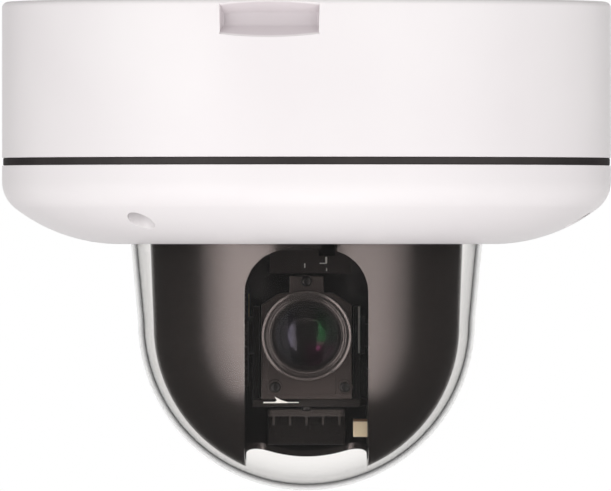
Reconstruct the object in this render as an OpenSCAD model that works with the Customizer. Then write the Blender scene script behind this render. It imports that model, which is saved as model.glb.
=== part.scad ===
// Ceiling-mount mini PTZ dome camera, in millimetres.
// The origin is the centre of the ceiling face, +Z is up and the lens looks along -Y at rest.
// The base, chassis and dome stand still; the turntable pans about Z and the camera block tilts about X.

/* [Housing] */
// Outside diameter of base and cover
body_d = 160; // [150:1:200]
// Height of the base housing
base_h = 41; // [38:0.5:60]
// Wall of base and cover
wall = 3; // [2.5:0.1:4]
// Thickness of the ceiling plate
top_t = 3; // [2.5:0.1:5]
// Thickness of the seal between base and cover
seal_t = 2; // [1:0.1:3]
// Height of the lower cover
cover_h = 20.6; // [18:0.1:30]
// Radius of the cover's outer corner
cover_corner_r = 9; // [6:0.5:12]
// Height of the corner's centre above the cover's flat underside
cover_curve_h = 16.5; // [14:0.5:20]
// Flat ring of the cover around the dome opening
cover_flat = 2.4; // [1:0.1:6]
// Turn of the base features to the left of the lens direction, in degrees
base_turn = 7; // [0:1:20]
// Distance of the ceiling screw holes from the rim
mount_inset = 14; // [12:0.5:18]
// Diameter of the ceiling screw holes
mount_hole_d = 4.5; // [3.5:0.1:6]
// Diameter of the cable entry in the ceiling plate
cable_entry_d = 22; // [12:0.5:24]
// Width of the cable notch in the rim
notch_w = 26.8; // [16:0.1:32]
// Height of the cable notch
notch_h = 9.4; // [7:0.1:14]
// Depth of the cable notch
notch_depth = 4; // [2:0.1:5]
// Diameter of the cover screws
cover_screw_d = 4; // [3:0.5:5]
// Diameter of the counterbores for the cover screws
cover_bore_d = 7.2; // [6.8:0.1:9]
// Distance of the cover screws from the rim
cover_screw_inset = 8.7; // [8:0.1:10]

/* [Dome] */
// Inside radius of the spherical part of the dome
dome_r = 42.3; // [42:0.1:56]
// Wall of the dome
dome_wall = 2; // [1.5:0.1:3]
// Widening of the dome up to the cover's underside
dome_flare = 1.9; // [0.5:0.1:4]
// Drop from the cover's underside to the dome's centre
dome_drop = 20.4; // [16:0.1:30]
// Width of the dome's clamped flange
dome_flange_w = 6.3; // [5:0.1:9]
// Thickness of the dome's flange
dome_flange_t = 2; // [1.5:0.1:3]
// Thickness of the seal under the dome's flange
dome_seal_t = 1; // [0.5:0.1:2]
// Thickness of the dome's clamp ring
retainer_t = 1.6; // [1:0.1:3]
// Width of the screw border of the clamp ring
retainer_border = 7.5; // [7:0.1:10]

/* [Liner] */
// Gap between dome and liner
liner_gap = 2.1; // [1.5:0.1:4]
// Wall of the liner
liner_wall = 1.5; // [1:0.1:2]
// Drop from the dome's centre to the liner's centre
liner_drop = 1.1; // [0:0.1:2]
// Widening of the liner up to the cover's underside
liner_flare = 0.8; // [0:0.1:2]
// Width of the camera slot
slot_w = 32; // [30:0.5:38]
// Radius of the slot's arched corners
slot_corner_r = 11.3; // [6:0.1:14]
// Height of the slot's arch above the tilt axis
slot_rise = 22.5; // [20:0.1:26]
// Reach of the slot behind the pan axis
slot_back = 19.8; // [18.5:0.1:24]
// Radius of the slot's rear corners
slot_back_r = 2; // [1:0.1:4]

/* [Electronics] */
// Height of the posts under the main board
board_post_h = 6; // [4:0.5:10]
// Thickness of every circuit board
board_t = 1.6; // [1:0.1:2]
// Margin from the board's edge to the ceiling screw circle
board_margin = 8; // [7:0.5:10]
// Distance of the standoffs from the board's edge
standoff_inset = 8; // [6:0.5:10]
// Width of the hexagonal standoffs over corners
standoff_d = 6.6; // [5.5:0.1:8]
// Side of the processor
chip_w = 18; // [12:1:20]
// Thickness of the processor
chip_t = 1.6; // [1:0.1:3]
// Side of the heatsink
heatsink_w = 26; // [20:1:30]
// Height of the heatsink
heatsink_h = 11; // [6:0.5:12]
// Number of heatsink fins
heatsink_fins = 7; // [5:1:9]
// Diameter of the capacitors
cap_d = 8; // [5:0.5:8]
// Height of the capacitors
cap_h = 10.5; // [8:0.5:14]

/* [Pan drive] */
// Distance of the chassis plate above the base's rim
chassis_rise = 11; // [10:0.5:14]
// Thickness of the chassis plate
chassis_t = 2; // [1.5:0.1:3]
// Outside diameter of the pan bearing
bearing_od = 42; // [40:0.5:46]
// Bore of the pan bearing
bearing_id = 30; // [28:0.5:32]
// Width of the pan bearing
bearing_w = 7; // [6:0.5:9]
// Diameter of the bearing balls
ball_d = 3.8; // [3:0.1:4]
// Number of bearing balls
ball_n = 14; // [10:1:16]
// Tooth module of the pan gears
pan_module = 0.6; // [0.55:0.01:0.75]
// Teeth of the pan gear
pan_teeth = 100; // [100:1:120]
// Teeth of the pan pinion
pan_pinion_teeth = 15; // [13:1:20]
// Thickness of the pan gear
pan_gear_t = 4; // [3:0.5:6]
// Diameter of the pan motor
pan_motor_d = 25; // [20:0.5:26]
// Height of the pan motor
pan_motor_h = 15; // [10:0.5:16]
// Diameter of the pan motor's shaft
pan_shaft_d = 2.5; // [2:0.1:3]
// Diameter of the slip ring's body
slip_ring_d = 21; // [16:0.5:22]
// Length of the slip ring's body below the chassis
slip_ring_h = 14; // [10:0.5:15]
// Diameter of the slip ring's shaft
slip_shaft_d = 8; // [5:0.5:10]
// Diameter of the lead bundle
lead_d = 3.2; // [2:0.1:4]
// Thickness of the turntable
table_t = 2.5; // [2:0.1:4]

/* [Tilt drive] */
// Drop from the dome's centre to the tilt axis
tilt_drop = 3.5; // [0:0.1:5]
// Thickness of the yoke's sheet
yoke_t = 2; // [1.5:0.1:2.5]
// Diameter of the trunnions
trunnion_d = 6; // [4:0.5:8]
// Wall of the trunnion bushes
bush_wall = 1.5; // [1:0.1:2]
// Tooth module of the tilt gears
tilt_module = 0.5; // [0.4:0.05:0.55]
// Teeth of the tilt gear
tilt_teeth = 52; // [48:1:56]
// Teeth of the tilt pinion
tilt_pinion_teeth = 12; // [12:1:16]
// Direction of the tilt pinion above the horizontal behind the axis, in degrees
tilt_pinion_dir = 28; // [15:1:40]
// Thickness of the tilt gears
tilt_gear_t = 2; // [1.5:0.1:2.4]
// Diameter of the tilt motor
tilt_motor_d = 15; // [12:0.5:16]
// Length of the tilt motor
tilt_motor_h = 9; // [6:0.5:10]
// Diameter of the tilt motor's shaft
tilt_shaft_d = 2; // [1.5:0.1:2.5]

/* [Camera block] */
// Width of the camera block
block_w = 23.6; // [23:0.1:29]
// Height of the camera block above the lens axis
block_up = 11.1; // [10:0.1:13]
// Height of the camera block below the lens axis
block_down = 16.5; // [16:0.1:18]
// Distance of the block's front from the tilt axis
block_front = 26; // [24:0.5:28]
// Distance of the block's rear from the tilt axis
block_rear = 18; // [17:0.5:20]
// Wall of the camera block
block_wall = 1.5; // [1:0.1:1.8]
// Thickness of the front and rear plates
plate_t = 2; // [1.5:0.1:3]
// Width of the tab on top of the front plate
tab_w = 9; // [6:0.5:12]
// Height of the tab above the lens axis
tab_up = 15.6; // [14:0.1:17]
// Outside diameter of the lens ring
ring_d = 23.6; // [22:0.1:24]
// Depth of the lens ring before the front plate
ring_depth = 3; // [2:0.1:5]
// Diameter of the front glass
glass_d = 18.1; // [14:0.1:18.4]
// Outside diameter of the lens barrel behind the front plate
barrel_d = 18.8; // [18.7:0.1:19]
// Diameter of the block's screws
lens_screw_d = 1.6; // [1.2:0.1:2]
// Length of the block's screws
lens_screw_l = 6.5; // [6:0.1:7]
// Diameter of the guide rods
rod_d = 1.8; // [1.2:0.1:2]
// Diameter of the zoom and focus lead screws
lead_screw_d = 2.4; // [2:0.1:2.6]
// Diameter of the zoom and focus motors
lens_motor_d = 7.2; // [6:0.1:7.4]
// Diameter of the zoom lens
zoom_lens_d = 13; // [10:0.1:13.4]
// Diameter of the focus lens
focus_lens_d = 11; // [8:0.1:13.4]
// Thickness of the cradle's cross plate
cradle_t = 2; // [1.5:0.1:2.6]
// Thickness of the cradle's side plates
cradle_side_t = 1.7; // [1.2:0.1:2]
// Width of the ribbed bracket
bracket_w = 20; // [16:0.5:22]
// Height of the ribbed bracket
bracket_h = 10; // [8:0.5:11]
// Distance between the bracket's ribs
rib_pitch = 4.3; // [3:0.1:5]

/* [Fits] */
// Gap of a shaft in its bearing, on the radius
running_gap = 0.05; // [0.03:0.01:0.1]
// Gap of a part seated in its bore, on the radius
seat_gap = 0.02; // [0.01:0.01:0.05]
// Gap of a screw in its hole, on the radius
screw_gap = 0.1; // [0.05:0.05:0.3]
// Gap of a sliding plate in its track
slide_gap = 0.15; // [0.1:0.05:0.3]
// Thinning of each gear tooth for backlash
backlash = 0.08; // [0.05:0.01:0.12]

/* [Hidden] */

$fn = 72;
// Overlap of cutters past the face that they cut
eps = 1;
// Steps along an arc of an outline
arc_steps = 10;

// Housing levels, all measured down from the ceiling face
body_r = body_d / 2;
rim_z = -base_h;
cover_z = rim_z - seal_t;
floor_z = cover_z - cover_h;
dome_z = floor_z - dome_drop;
liner_z = dome_z - liner_drop;
tilt_z = dome_z - tilt_drop;

// Angles of the base features, counted from +X
notch_dir = 270 - base_turn;
cover_screw_dirs = [for (i = [0 : 2]) notch_dir - 30 + 120 * i];
mount_dirs = [for (i = [0 : 3]) notch_dir + 45 + 90 * i];
standoff_dirs = [for (i = [0 : 3]) 45 + 90 * i];
mount_r = body_r - mount_inset;
cover_screw_r = body_r - cover_screw_inset;
cover_boss_r = cover_bore_d / 2 + 1.6;
cover_seat_z = rim_z - 9;
cover_screw_l = 20;
cover_head_h = 2.6;
base_chamfer = 1;

// Dome clamp levels
dome_out = dome_r + dome_wall;
dome_mouth_r = dome_r + dome_flare;
mouth_out = dome_mouth_r + dome_wall;
opening_r = mouth_out + 0.4;
flange_r = mouth_out + dome_flange_w;
dome_shelf_z = floor_z + wall;
dome_flange_z = dome_shelf_z + dome_seal_t;
retainer_z = dome_flange_z + dome_flange_t;
retainer_top = retainer_z + retainer_t;
retainer_screw_r = flange_r + retainer_border / 2;
retainer_dirs = [for (i = [0 : 3]) 45 + 90 * i];
m3_d = 3;
m3_l = 6;
m3_head_d = 5.5;
m3_head_h = 1.8;
m3_boss_r = 3.2;

// Cover outline: a flat, a wide belly arc and a corner arc, each tangent to the next
flat_r = opening_r + cover_flat;
corner_c = [body_r - cover_corner_r, floor_z + cover_curve_h];
corner_run = corner_c[0] - flat_r;
belly_r = (pow(corner_run, 2) + pow(cover_curve_h, 2) - pow(cover_corner_r, 2))
    / (2 * (cover_curve_h - cover_corner_r));
belly_c = [flat_r, floor_z + belly_r];
belly_angle = atan2(corner_run, belly_r - cover_curve_h);

// Liner sizes
liner_r = dome_r - liner_gap;
liner_in = liner_r - liner_wall;
liner_top_r = liner_r + liner_flare;
liner_flange_t = 1.5;
liner_flange_in = 31;
peg_r = 1.5;
peg_circle = 34.5;
peg_dirs = [for (i = [0 : 3]) 45 + 90 * i];

// Electronics levels
board_top = -(top_t + board_post_h);
board_low = board_top - board_t;
board_r = mount_r - board_margin;
board_hole_r = 14;
standoff_r = board_r - standoff_inset;
stud_r = 1.5;
stud_l = 5;
post_r = 3.6;
heatsink_y = -(board_r - 24);
socket_x = 20;
socket_size = [8, 8, 6];
jack_size = [21, 16, 13.5];
terminal_size = [10, 14, 10];
cap_dirs = [-33, -22, 22, 33];
cap_circle = board_r - 11;

// Pan drive levels and radii
chassis_z = rim_z + chassis_rise;
chassis_low = chassis_z - chassis_t;
chassis_r = mount_r - 6;
race_low = chassis_low - bearing_w;
bearing_z = chassis_low - bearing_w / 2;
race_pitch = (bearing_od + bearing_id) / 4;
race_gap = 0.7;
race_clear = 0.05;
boss_wall = 6.5;
lip_t = 1;
lip_w = 1.4;
hub_r = bearing_id / 2;
hub_bore = slip_ring_d / 2 + 1;
hub_shoulder_r = hub_r + 1.6;
hub_nut_h = 1.4;
gear_z = race_low - 3;
gear_low = gear_z - pan_gear_t;
hub_flange_r = 24;
hub_flange_t = 2;
hub_low = gear_low - hub_flange_t;
table_low = hub_low - table_t;
table_r = 38;
pan_centre = pan_module * (pan_teeth + pan_pinion_teeth) / 2;
pan_dir = 90;
motor_ear = 3.5;
motor_ear_x = pan_motor_d / 2 + motor_ear;
motor_ear_t = 1.2;
motor_pilot_r = 4;
m2_d = 2;
m2_l = 4;
m2_head_d = 3.8;
m2_head_h = 1.4;
stator_flange_r = bearing_od / 2 + 3;
stator_flange_t = 2;
stator_lug_x = bearing_od / 2 + 3.3;
stator_flat_y = pan_centre - pan_motor_d / 2 - 1;
rotor_flange_r = hub_bore - 2;
rotor_flange_t = 1.5;
lead_hole_r = 2.5;
bolt_d = 2.5;
bolt_l = yoke_t + table_t + hub_flange_t + pan_gear_t - 1.5;
bolt_head_d = 4.5;
bolt_head_h = 2;
bolt_circle = 20;
bolt_dirs = [for (i = [0 : 3]) 45 + 90 * i];

// Tilt drive: the gear sits between the left cradle plate and the left yoke arm
cradle_in = block_w / 2 + 0.5;
cradle_out = cradle_in + cradle_side_t;
tilt_gear_x = cradle_out + 1.3;
arm_x = tilt_gear_x + tilt_gear_t + 0.7;
arm_out = arm_x + yoke_t;
trunnion_r = trunnion_d / 2;
bush_r = trunnion_r + bush_wall;
bush_flange_r = bush_r + 1.5;
bush_flange_t = 1;
arm_half = 8;
arm_end_r = 9;
tilt_centre = tilt_module * (tilt_teeth + tilt_pinion_teeth) / 2;
tilt_motor_y = tilt_centre * cos(tilt_pinion_dir);
tilt_motor_z = tilt_z + tilt_centre * sin(tilt_pinion_dir);
tilt_pilot_r = 2.5;
tilt_lobe_r = tilt_motor_d / 2 + 2.5;

// Camera block, measured from the lens axis
block_half = block_w / 2;
block_shoulder = 8;
block_top_half = 7;
block_length = block_front + block_rear;
front_y = -(block_front + plate_t);
rear_y = block_rear + plate_t;
glass_r = glass_d / 2;
ring_r = ring_d / 2;
barrel_r = barrel_d / 2;
barrel_l = 2;
lens_screw_boss = 1.7;
front_screws = [
    [0, tab_up - 1.4],
    [3.7 - block_half, 3.1 - block_down], [block_half - 1.9, 3.1 - block_down]];
rear_screws = [
    [-block_top_half + 1, block_up - 2.1], [block_top_half - 1, block_up - 2.1],
    [1.9 - block_half, 1.9 - block_down], [block_half - 1.9, 1.9 - block_down]];
foot_screws = [-22, 12];
screw_head_d = 2.8;
screw_head_h = 1.2;
rod_r = rod_d / 2;
carrier_r = 8.2;
carrier_ear = 1.7;
rod_x = block_half - block_wall - carrier_ear - 0.4;
rods = [[-rod_x, -6.6], [rod_x, 6.6]];
lead_z = block_wall + lens_motor_d / 2 + 0.4 - block_down;
zoom_at = [-5.5, lead_z];
focus_at = [5.5, lead_z];
lead_screw_r = lead_screw_d / 2;
journal_r = 0.6;
journal_l = 1.2;
lens_motor_l = 9;
lens_motor_y = block_rear - lens_motor_l;
zoom_y = -18;
zoom_l = 7;
focus_y = 1;
focus_l = 5;
lens_edge = 1.8;
lens_rim = 1;
front_curve = 22;
rear_curve = 60;
filter_y = 15;
filter_t = 1;
filter_half = 4.2;
filter_step = 6;
filter_window = 2.6;
filter_end = 3.6;
rail_half = 5.5;
rail_lip = 3.4;
sensor_gap = 1.4;
sensor_size = [10, 8];
cradle_z = tilt_z - block_down;
cradle_low = cradle_z - cradle_t;
cradle_front = 24;
cradle_rear = 14;
side_half = 9;
side_up = 7.6;
side_board_x = cradle_out + 1.9;
side_board_y = -12;
side_board_l = 20;
side_board_top = tilt_z - 9;
side_board_h = 19.5;
connector_size = [3.7, 6, 4.6];
connector_z = tilt_z - 21.9;
bracket_front = -16;
bracket_l = 22;
bracket_bar_h = 1.9;
bracket_gap = 0.7;
rib_h = 2.3;
rib_t = 1;
rib_n = 5;

// Points along an arc, from one angle to another
function arc(c, r, a0, a1, n = arc_steps) =
    [for (i = [0 : n]) c + r * [cos(a0 + (a1 - a0) * i / n), sin(a0 + (a1 - a0) * i / n)]];

// Half section of the cover, drawn in by the inset
function cover_outline(inset, top) = concat(
    [[0, floor_z + inset]],
    arc(belly_c, belly_r - inset, -90, belly_angle - 90),
    arc(corner_c, cover_corner_r - inset, belly_angle - 90, 0),
    [[body_r - inset, top], [0, top]]);

// Front outline of the camera block, drawn in by the inset
function block_outline(inset) = [
    [-block_half + inset, -block_down + inset], [block_half - inset, -block_down + inset],
    [block_half - inset, block_shoulder], [block_top_half, block_up - inset],
    [-block_top_half, block_up - inset], [-block_half + inset, block_shoulder]];

// Involute gear teeth, with flanks of three points from the base circle to the tip
pressure_angle = 25;
tip_height = 0.8;
root_depth = 1.05;
function involute_turn(r, base) = let (t = sqrt(max(0, pow(r / base, 2) - 1))) t * 180 / PI - atan(t);
function flank_angle(r, pitch, base, half) =
    half + involute_turn(pitch, base) - involute_turn(max(r, base), base);
function gear_points(teeth, m) = let (
    pitch = m * teeth / 2,
    base = pitch * cos(pressure_angle),
    tip = pitch + tip_height * m,
    root = pitch - root_depth * m,
    half = 90 / teeth - backlash / 2 / pitch * 180 / PI,
    radii = [root, max(base, root), (max(base, root) + tip) / 2, tip])
    [for (i = [0 : teeth - 1], side = [-1, 1], k = [0 : 3])
        let (
            r = radii[side < 0 ? k : 3 - k],
            a = 360 * i / teeth + side * flank_angle(r, pitch, base, half))
        r * [cos(a), sin(a)]];

// Extrudes an outline downwards from a level
module hung(z, h) translate([0, 0, z - h]) linear_extrude(h) children();

// Extrudes an outline of (y, z) along +X
module along_x(x, len) translate([x, 0, 0]) rotate([90, 0, 90]) linear_extrude(len) children();

// Extrudes an outline of (x, z), drawn about the lens axis, along +Y
module along_y(y, len) translate([0, y + len, tilt_z]) rotate([90, 0, 0]) linear_extrude(len) children();

// Turns a half section of (r, y) about the lens axis
module lathe_y() translate([0, 0, tilt_z]) rotate([-90, 0, 0]) rotate_extrude() children();

// Repeats its children on a circle
module around(r, dirs) for (a = dirs) rotate(a) translate([r, 0]) children();

// Repeats its children at points
module at(points) for (p = points) translate(p) children();

// Flat ring
module ring(r_out, r_in) difference() {
    circle(r_out);
    circle(r_in);
}

// Socket-head screw with its seat at the origin, the shank along +Z and the head along -Z
module screw(d, len, head_d, head_h) difference() {
    union() {
        cylinder(d = d, h = len);
        translate([0, 0, -head_h]) cylinder(d = head_d, h = head_h);
    }
    translate([0, 0, -head_h - eps]) cylinder(d = head_d * 0.5, h = head_h * 0.6 + eps, $fn = 6);
}

// Ground lens on the lens axis: a flat rim, with spherical caps before and behind it inside their own rims
module lens(y, r, edge, front_rim, front_r, rear_rim, rear_r) {
    along_y(y, edge) circle(r);
    lens_cap(y, r - front_rim, front_r, -1);
    lens_cap(y + edge, r - rear_rim, rear_r, 1);
}

// Spherical cap on the lens axis, bulging to the front or to the rear
module lens_cap(y, cap_r, sphere_r, side) {
    centre = y - side * sqrt(pow(sphere_r, 2) - pow(cap_r, 2));
    intersection() {
        translate([0, centre, tilt_z]) sphere(sphere_r, $fn = 4 * $fn);
        along_y(side < 0 ? y - sphere_r : y, sphere_r) circle(cap_r);
    }
}

module base_housing() color("#efebed") difference() {
    union() {
        rotate_extrude() difference() {
            polygon([[0, 0], [body_r - base_chamfer, 0], [body_r, -base_chamfer],
                [body_r, rim_z], [0, rim_z]]);
            translate([0, rim_z - eps]) square([body_r - wall, base_h - top_t + eps]);
        }
        intersection() {
            hung(-top_t / 2, base_h - top_t / 2) circle(body_r - wall / 2);
            union() {
                hung(-top_t / 2, base_h - top_t / 2) around(cover_screw_r, cover_screw_dirs) {
                    circle(cover_boss_r);
                    translate([0, -cover_boss_r / 2]) square([cover_screw_inset, cover_boss_r]);
                }
                rotate(notch_dir) hung(-top_t / 2, notch_h + wall - top_t / 2)
                    translate([body_r - notch_depth - wall, -notch_w / 2 - wall])
                        square([notch_depth + wall, notch_w + 2 * wall]);
            }
        }
        hung(-top_t / 2, top_t / 2 + board_post_h) around(standoff_r, standoff_dirs) circle(post_r);
    }
    hung(eps, top_t + 2 * eps) {
        around(mount_r, mount_dirs) circle(d = mount_hole_d);
        circle(d = cable_entry_d);
    }
    around(cover_screw_r, cover_screw_dirs) translate([0, 0, rim_z - eps])
        cylinder(r = cover_screw_d / 2 + screw_gap, h = cover_screw_l - 9 + 2 * eps);
    around(standoff_r, standoff_dirs) translate([0, 0, board_top - eps])
        cylinder(r = stud_r + screw_gap, h = stud_l - board_t + 2 * eps);
    rotate(notch_dir) cable_notch();
}

// Recess in the rim with a sloped roof, an upright back, a ramp below and drafted sides
module cable_notch() {
    roof = 0.25 * notch_h;
    ramp = 0.68 * notch_h;
    draft = notch_depth * tan(15);
    intersection() {
        translate([0, notch_w, 0]) rotate([90, 0, 0]) linear_extrude(2 * notch_w)
            polygon([[body_r + eps, -0.3], [body_r, -0.3], [body_r - notch_depth, -roof],
                [body_r - notch_depth, -ramp], [body_r, -notch_h], [body_r + eps, -notch_h]]);
        hung(0, notch_h) polygon([
            [body_r + eps, -notch_w / 2], [body_r + eps, notch_w / 2], [body_r - eps, notch_w / 2],
            [body_r - notch_depth - eps, notch_w / 2 - draft],
            [body_r - notch_depth - eps, draft - notch_w / 2], [body_r - eps, -notch_w / 2]]);
    }
}

module housing_gasket() color("#37302e") hung(rim_z, seal_t) ring(body_r - 0.3, body_r - wall + 0.2);

module dome_cover() color("#efebed") difference() {
    union() {
        rotate_extrude() difference() {
            polygon(cover_outline(0, cover_z));
            polygon(cover_outline(wall, cover_z + eps));
            translate([0, floor_z - eps]) square([opening_r, cover_h + 2 * eps]);
            translate([0, dome_shelf_z]) square([flange_r + 0.3, cover_h]);
        }
        intersection() {
            rotate_extrude() polygon(cover_outline(wall / 2, rim_z));
            hung(rim_z, cover_h + seal_t) around(cover_screw_r, cover_screw_dirs) circle(cover_boss_r);
        }
        hung(retainer_z, retainer_z - dome_shelf_z + wall / 3)
            around(retainer_screw_r, retainer_dirs) circle(m3_boss_r);
    }
    around(cover_screw_r, cover_screw_dirs) {
        translate([0, 0, floor_z]) cylinder(d = cover_bore_d, h = cover_seat_z - floor_z);
        translate([0, 0, floor_z]) cylinder(r = cover_screw_d / 2 + screw_gap, h = cover_h + seal_t + eps);
    }
    around(retainer_screw_r, retainer_dirs) translate([0, 0, retainer_top - m3_l - 0.2])
        cylinder(r = m3_d / 2 + screw_gap, h = m3_l + eps);
}

module cover_screws() color("#b9b9bb") around(cover_screw_r, cover_screw_dirs)
    translate([0, 0, cover_seat_z]) screw(cover_screw_d, cover_screw_l, cover_bore_d - 0.6, cover_head_h);

module dome_bubble() color("#e8eef0", 0.4) rotate_extrude() {
    translate([0, dome_z]) intersection() {
        ring(dome_out, dome_r);
        translate([0, -2 * dome_out]) square(2 * dome_out);
    }
    polygon([[dome_r, dome_z], [dome_out, dome_z], [mouth_out, floor_z], [mouth_out, dome_flange_z],
        [flange_r, dome_flange_z], [flange_r, retainer_z],
        [dome_mouth_r, retainer_z], [dome_mouth_r, floor_z]]);
}

module dome_seal() color("#2b2727") hung(dome_flange_z, dome_seal_t) ring(flange_r - 0.5, opening_r + 0.5);

module dome_retainer() color("#a9abae") hung(retainer_top, retainer_t) difference() {
    ring(flange_r + retainer_border, dome_mouth_r + 1);
    around(retainer_screw_r, retainer_dirs) circle(m3_d / 2 + screw_gap);
    around(cover_screw_r, cover_screw_dirs) circle(cover_boss_r + 0.4);
}

module m3_screws() color("#c4c4c6") {
    around(retainer_screw_r, retainer_dirs) translate([0, 0, retainer_top]) mirror([0, 0, 1])
        screw(m3_d, m3_l, m3_head_d, m3_head_h);
    around(standoff_r, standoff_dirs) translate([0, 0, chassis_low]) screw(m3_d, m3_l, m3_head_d, m3_head_h);
}

module main_board() color("#1f5a3c") hung(board_top, board_t) difference() {
    ring(board_r, board_hole_r);
    around(standoff_r, standoff_dirs) circle(stud_r + screw_gap);
}

module board_standoffs() color("#c8a55a") around(standoff_r, standoff_dirs) difference() {
    union() {
        hung(board_low, board_low - chassis_z) circle(d = standoff_d, $fn = 6);
        translate([0, 0, board_low]) cylinder(r = stud_r, h = stud_l);
    }
    translate([0, 0, chassis_z - eps]) cylinder(r = m3_d / 2 + screw_gap, h = m3_l + eps);
}

module network_jack() color("#b8bcc0") translate([-board_r + 1, 0, board_low - jack_size[2]]) difference() {
    translate([0, -jack_size[1] / 2, 0]) cube(jack_size);
    translate([-eps, -5.9, 2.2]) cube([13 + eps, 11.8, 6.8]);
    translate([-eps, -3.1, 9]) cube([13 + eps, 6.2, 2.4]);
}

module power_terminal() color("#2f7d4f") translate([board_r - 3, 0, board_low]) difference() {
    translate([-terminal_size[0], -terminal_size[1] / 2, -terminal_size[2]]) cube(terminal_size);
    for (y = [-3.5, 3.5]) {
        translate([-4, y - 1.6, -7.6]) cube([4 + eps, 3.2, 3.2]);
        translate([-5, y, -terminal_size[2] - eps]) cylinder(r = 1.7, h = 1.5 + eps);
    }
}

module processor_chip() color("#222426") translate([-chip_w / 2, heatsink_y - chip_w / 2, board_low - chip_t])
    cube([chip_w, chip_w, chip_t]);

module processor_heatsink() color("#9fa3a8") {
    plate_h = 2.5;
    fin_t = 1.2;
    step = (heatsink_w - fin_t) / (heatsink_fins - 1);
    top = board_low - chip_t;
    translate([-heatsink_w / 2, heatsink_y - heatsink_w / 2, 0]) {
        translate([0, 0, top - plate_h]) cube([heatsink_w, heatsink_w, plate_h]);
        for (i = [0 : heatsink_fins - 1]) translate([i * step, 0, top - heatsink_h])
            cube([fin_t, heatsink_w, heatsink_h - plate_h / 2]);
    }
}

module capacitors() color("#3a4a7c") around(cap_circle, cap_dirs) {
    base_t = 0.8;
    neck_h = 1;
    hung(board_low, base_t) square(cap_d, center = true);
    hung(board_low - base_t / 2, neck_h) circle(cap_d / 2 - 0.5);
    hung(board_low - base_t - neck_h / 2, cap_h - base_t - neck_h) circle(cap_d / 2 - 0.2);
}

module cable_socket() color("#e6e0d0") difference() {
    translate([socket_x, -socket_size[1] / 2, board_low - socket_size[2]]) cube(socket_size);
    translate([socket_x - eps, -socket_size[1] / 2 + 1, board_low - socket_size[2] + 1])
        cube([4 + eps, socket_size[1] - 2, socket_size[2] - 2]);
}

module chassis_plate() color("#b4b7ba") difference() {
    union() {
        hung(chassis_z, chassis_t) circle(chassis_r);
        hung(chassis_z - chassis_t / 2, chassis_t / 2 + bearing_w + lip_t) circle(bearing_od / 2 + boss_wall);
    }
    hung(chassis_z + eps, chassis_t + bearing_w + eps) circle(bearing_od / 2 + seat_gap);
    hung(chassis_z, chassis_t + bearing_w + lip_t + eps) circle(bearing_od / 2 - lip_w);
    hung(chassis_z + eps, chassis_t + 2 * eps) {
        around(standoff_r, standoff_dirs) circle(m3_d / 2 + screw_gap);
        rotate(pan_dir) translate([pan_centre, 0]) {
            circle(motor_pilot_r + screw_gap);
            at([[0, motor_ear_x], [0, -motor_ear_x]]) circle(m2_d / 2 + screw_gap);
        }
    }
    hung(chassis_z + eps, 5 + eps) at([[-stator_lug_x, 0], [stator_lug_x, 0]]) circle(m2_d / 2 + screw_gap);
}

module pan_motor() color("#c9cbce") rotate(pan_dir) translate([pan_centre, 0]) difference() {
    union() {
        hung(chassis_z + pan_motor_h, pan_motor_h) circle(d = pan_motor_d);
        hung(chassis_z + motor_ear_t, motor_ear_t) {
            square([7, 2 * motor_ear_x], center = true);
            at([[0, motor_ear_x], [0, -motor_ear_x]]) circle(motor_ear);
        }
        hung(chassis_z + motor_ear_t, motor_ear_t + chassis_t + 0.5) circle(motor_pilot_r);
        hung(chassis_z + pan_motor_h - 2, 8) translate([pan_motor_d / 2 - 2, -5]) square([5, 10]);
    }
    hung(chassis_z + 8 + eps, 8 + chassis_t + 3 * eps) circle(pan_shaft_d / 2 + running_gap);
    hung(chassis_z + motor_ear_t + eps, motor_ear_t + 2 * eps)
        at([[0, motor_ear_x], [0, -motor_ear_x]]) circle(m2_d / 2 + screw_gap);
}

module m2_screws() color("#c4c4c6") {
    rotate(pan_dir) at([[pan_centre, motor_ear_x, chassis_z + motor_ear_t],
            [pan_centre, -motor_ear_x, chassis_z + motor_ear_t]])
        mirror([0, 0, 1]) screw(m2_d, m2_l, m2_head_d, m2_head_h);
    at([[-stator_lug_x, 0, chassis_z + stator_flange_t], [stator_lug_x, 0, chassis_z + stator_flange_t]])
        mirror([0, 0, 1]) screw(m2_d, m2_l, m2_head_d, m2_head_h);
}

// Half section of the ball groove shared by both races
module ball_groove() translate([race_pitch, bearing_z]) circle(ball_d / 2 + race_clear);

module pan_bearing_outer_race() color("#d2d4d6") rotate_extrude() difference() {
    translate([race_pitch + race_gap, race_low]) square([bearing_od / 2 - race_pitch - race_gap, bearing_w]);
    ball_groove();
}

module pan_bearing_inner_race() color("#d2d4d6") rotate_extrude() difference() {
    translate([hub_r + seat_gap, race_low]) square([race_pitch - race_gap - hub_r - seat_gap, bearing_w]);
    ball_groove();
}

module pan_bearing_balls() color("#e2e4e6")
    around(race_pitch, [for (i = [0 : ball_n - 1]) 360 * i / ball_n])
        translate([0, 0, bearing_z]) sphere(d = ball_d);

module pan_bearing_cage() color("#b08d57") difference() {
    hung(bearing_z + ball_d / 2 + 0.5, ball_d + 1) ring(race_pitch + 0.45, race_pitch - 0.45);
    around(race_pitch, [for (i = [0 : ball_n - 1]) 360 * i / ball_n])
        translate([0, 0, bearing_z]) sphere(ball_d / 2 + 2 * race_clear);
}

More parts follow.
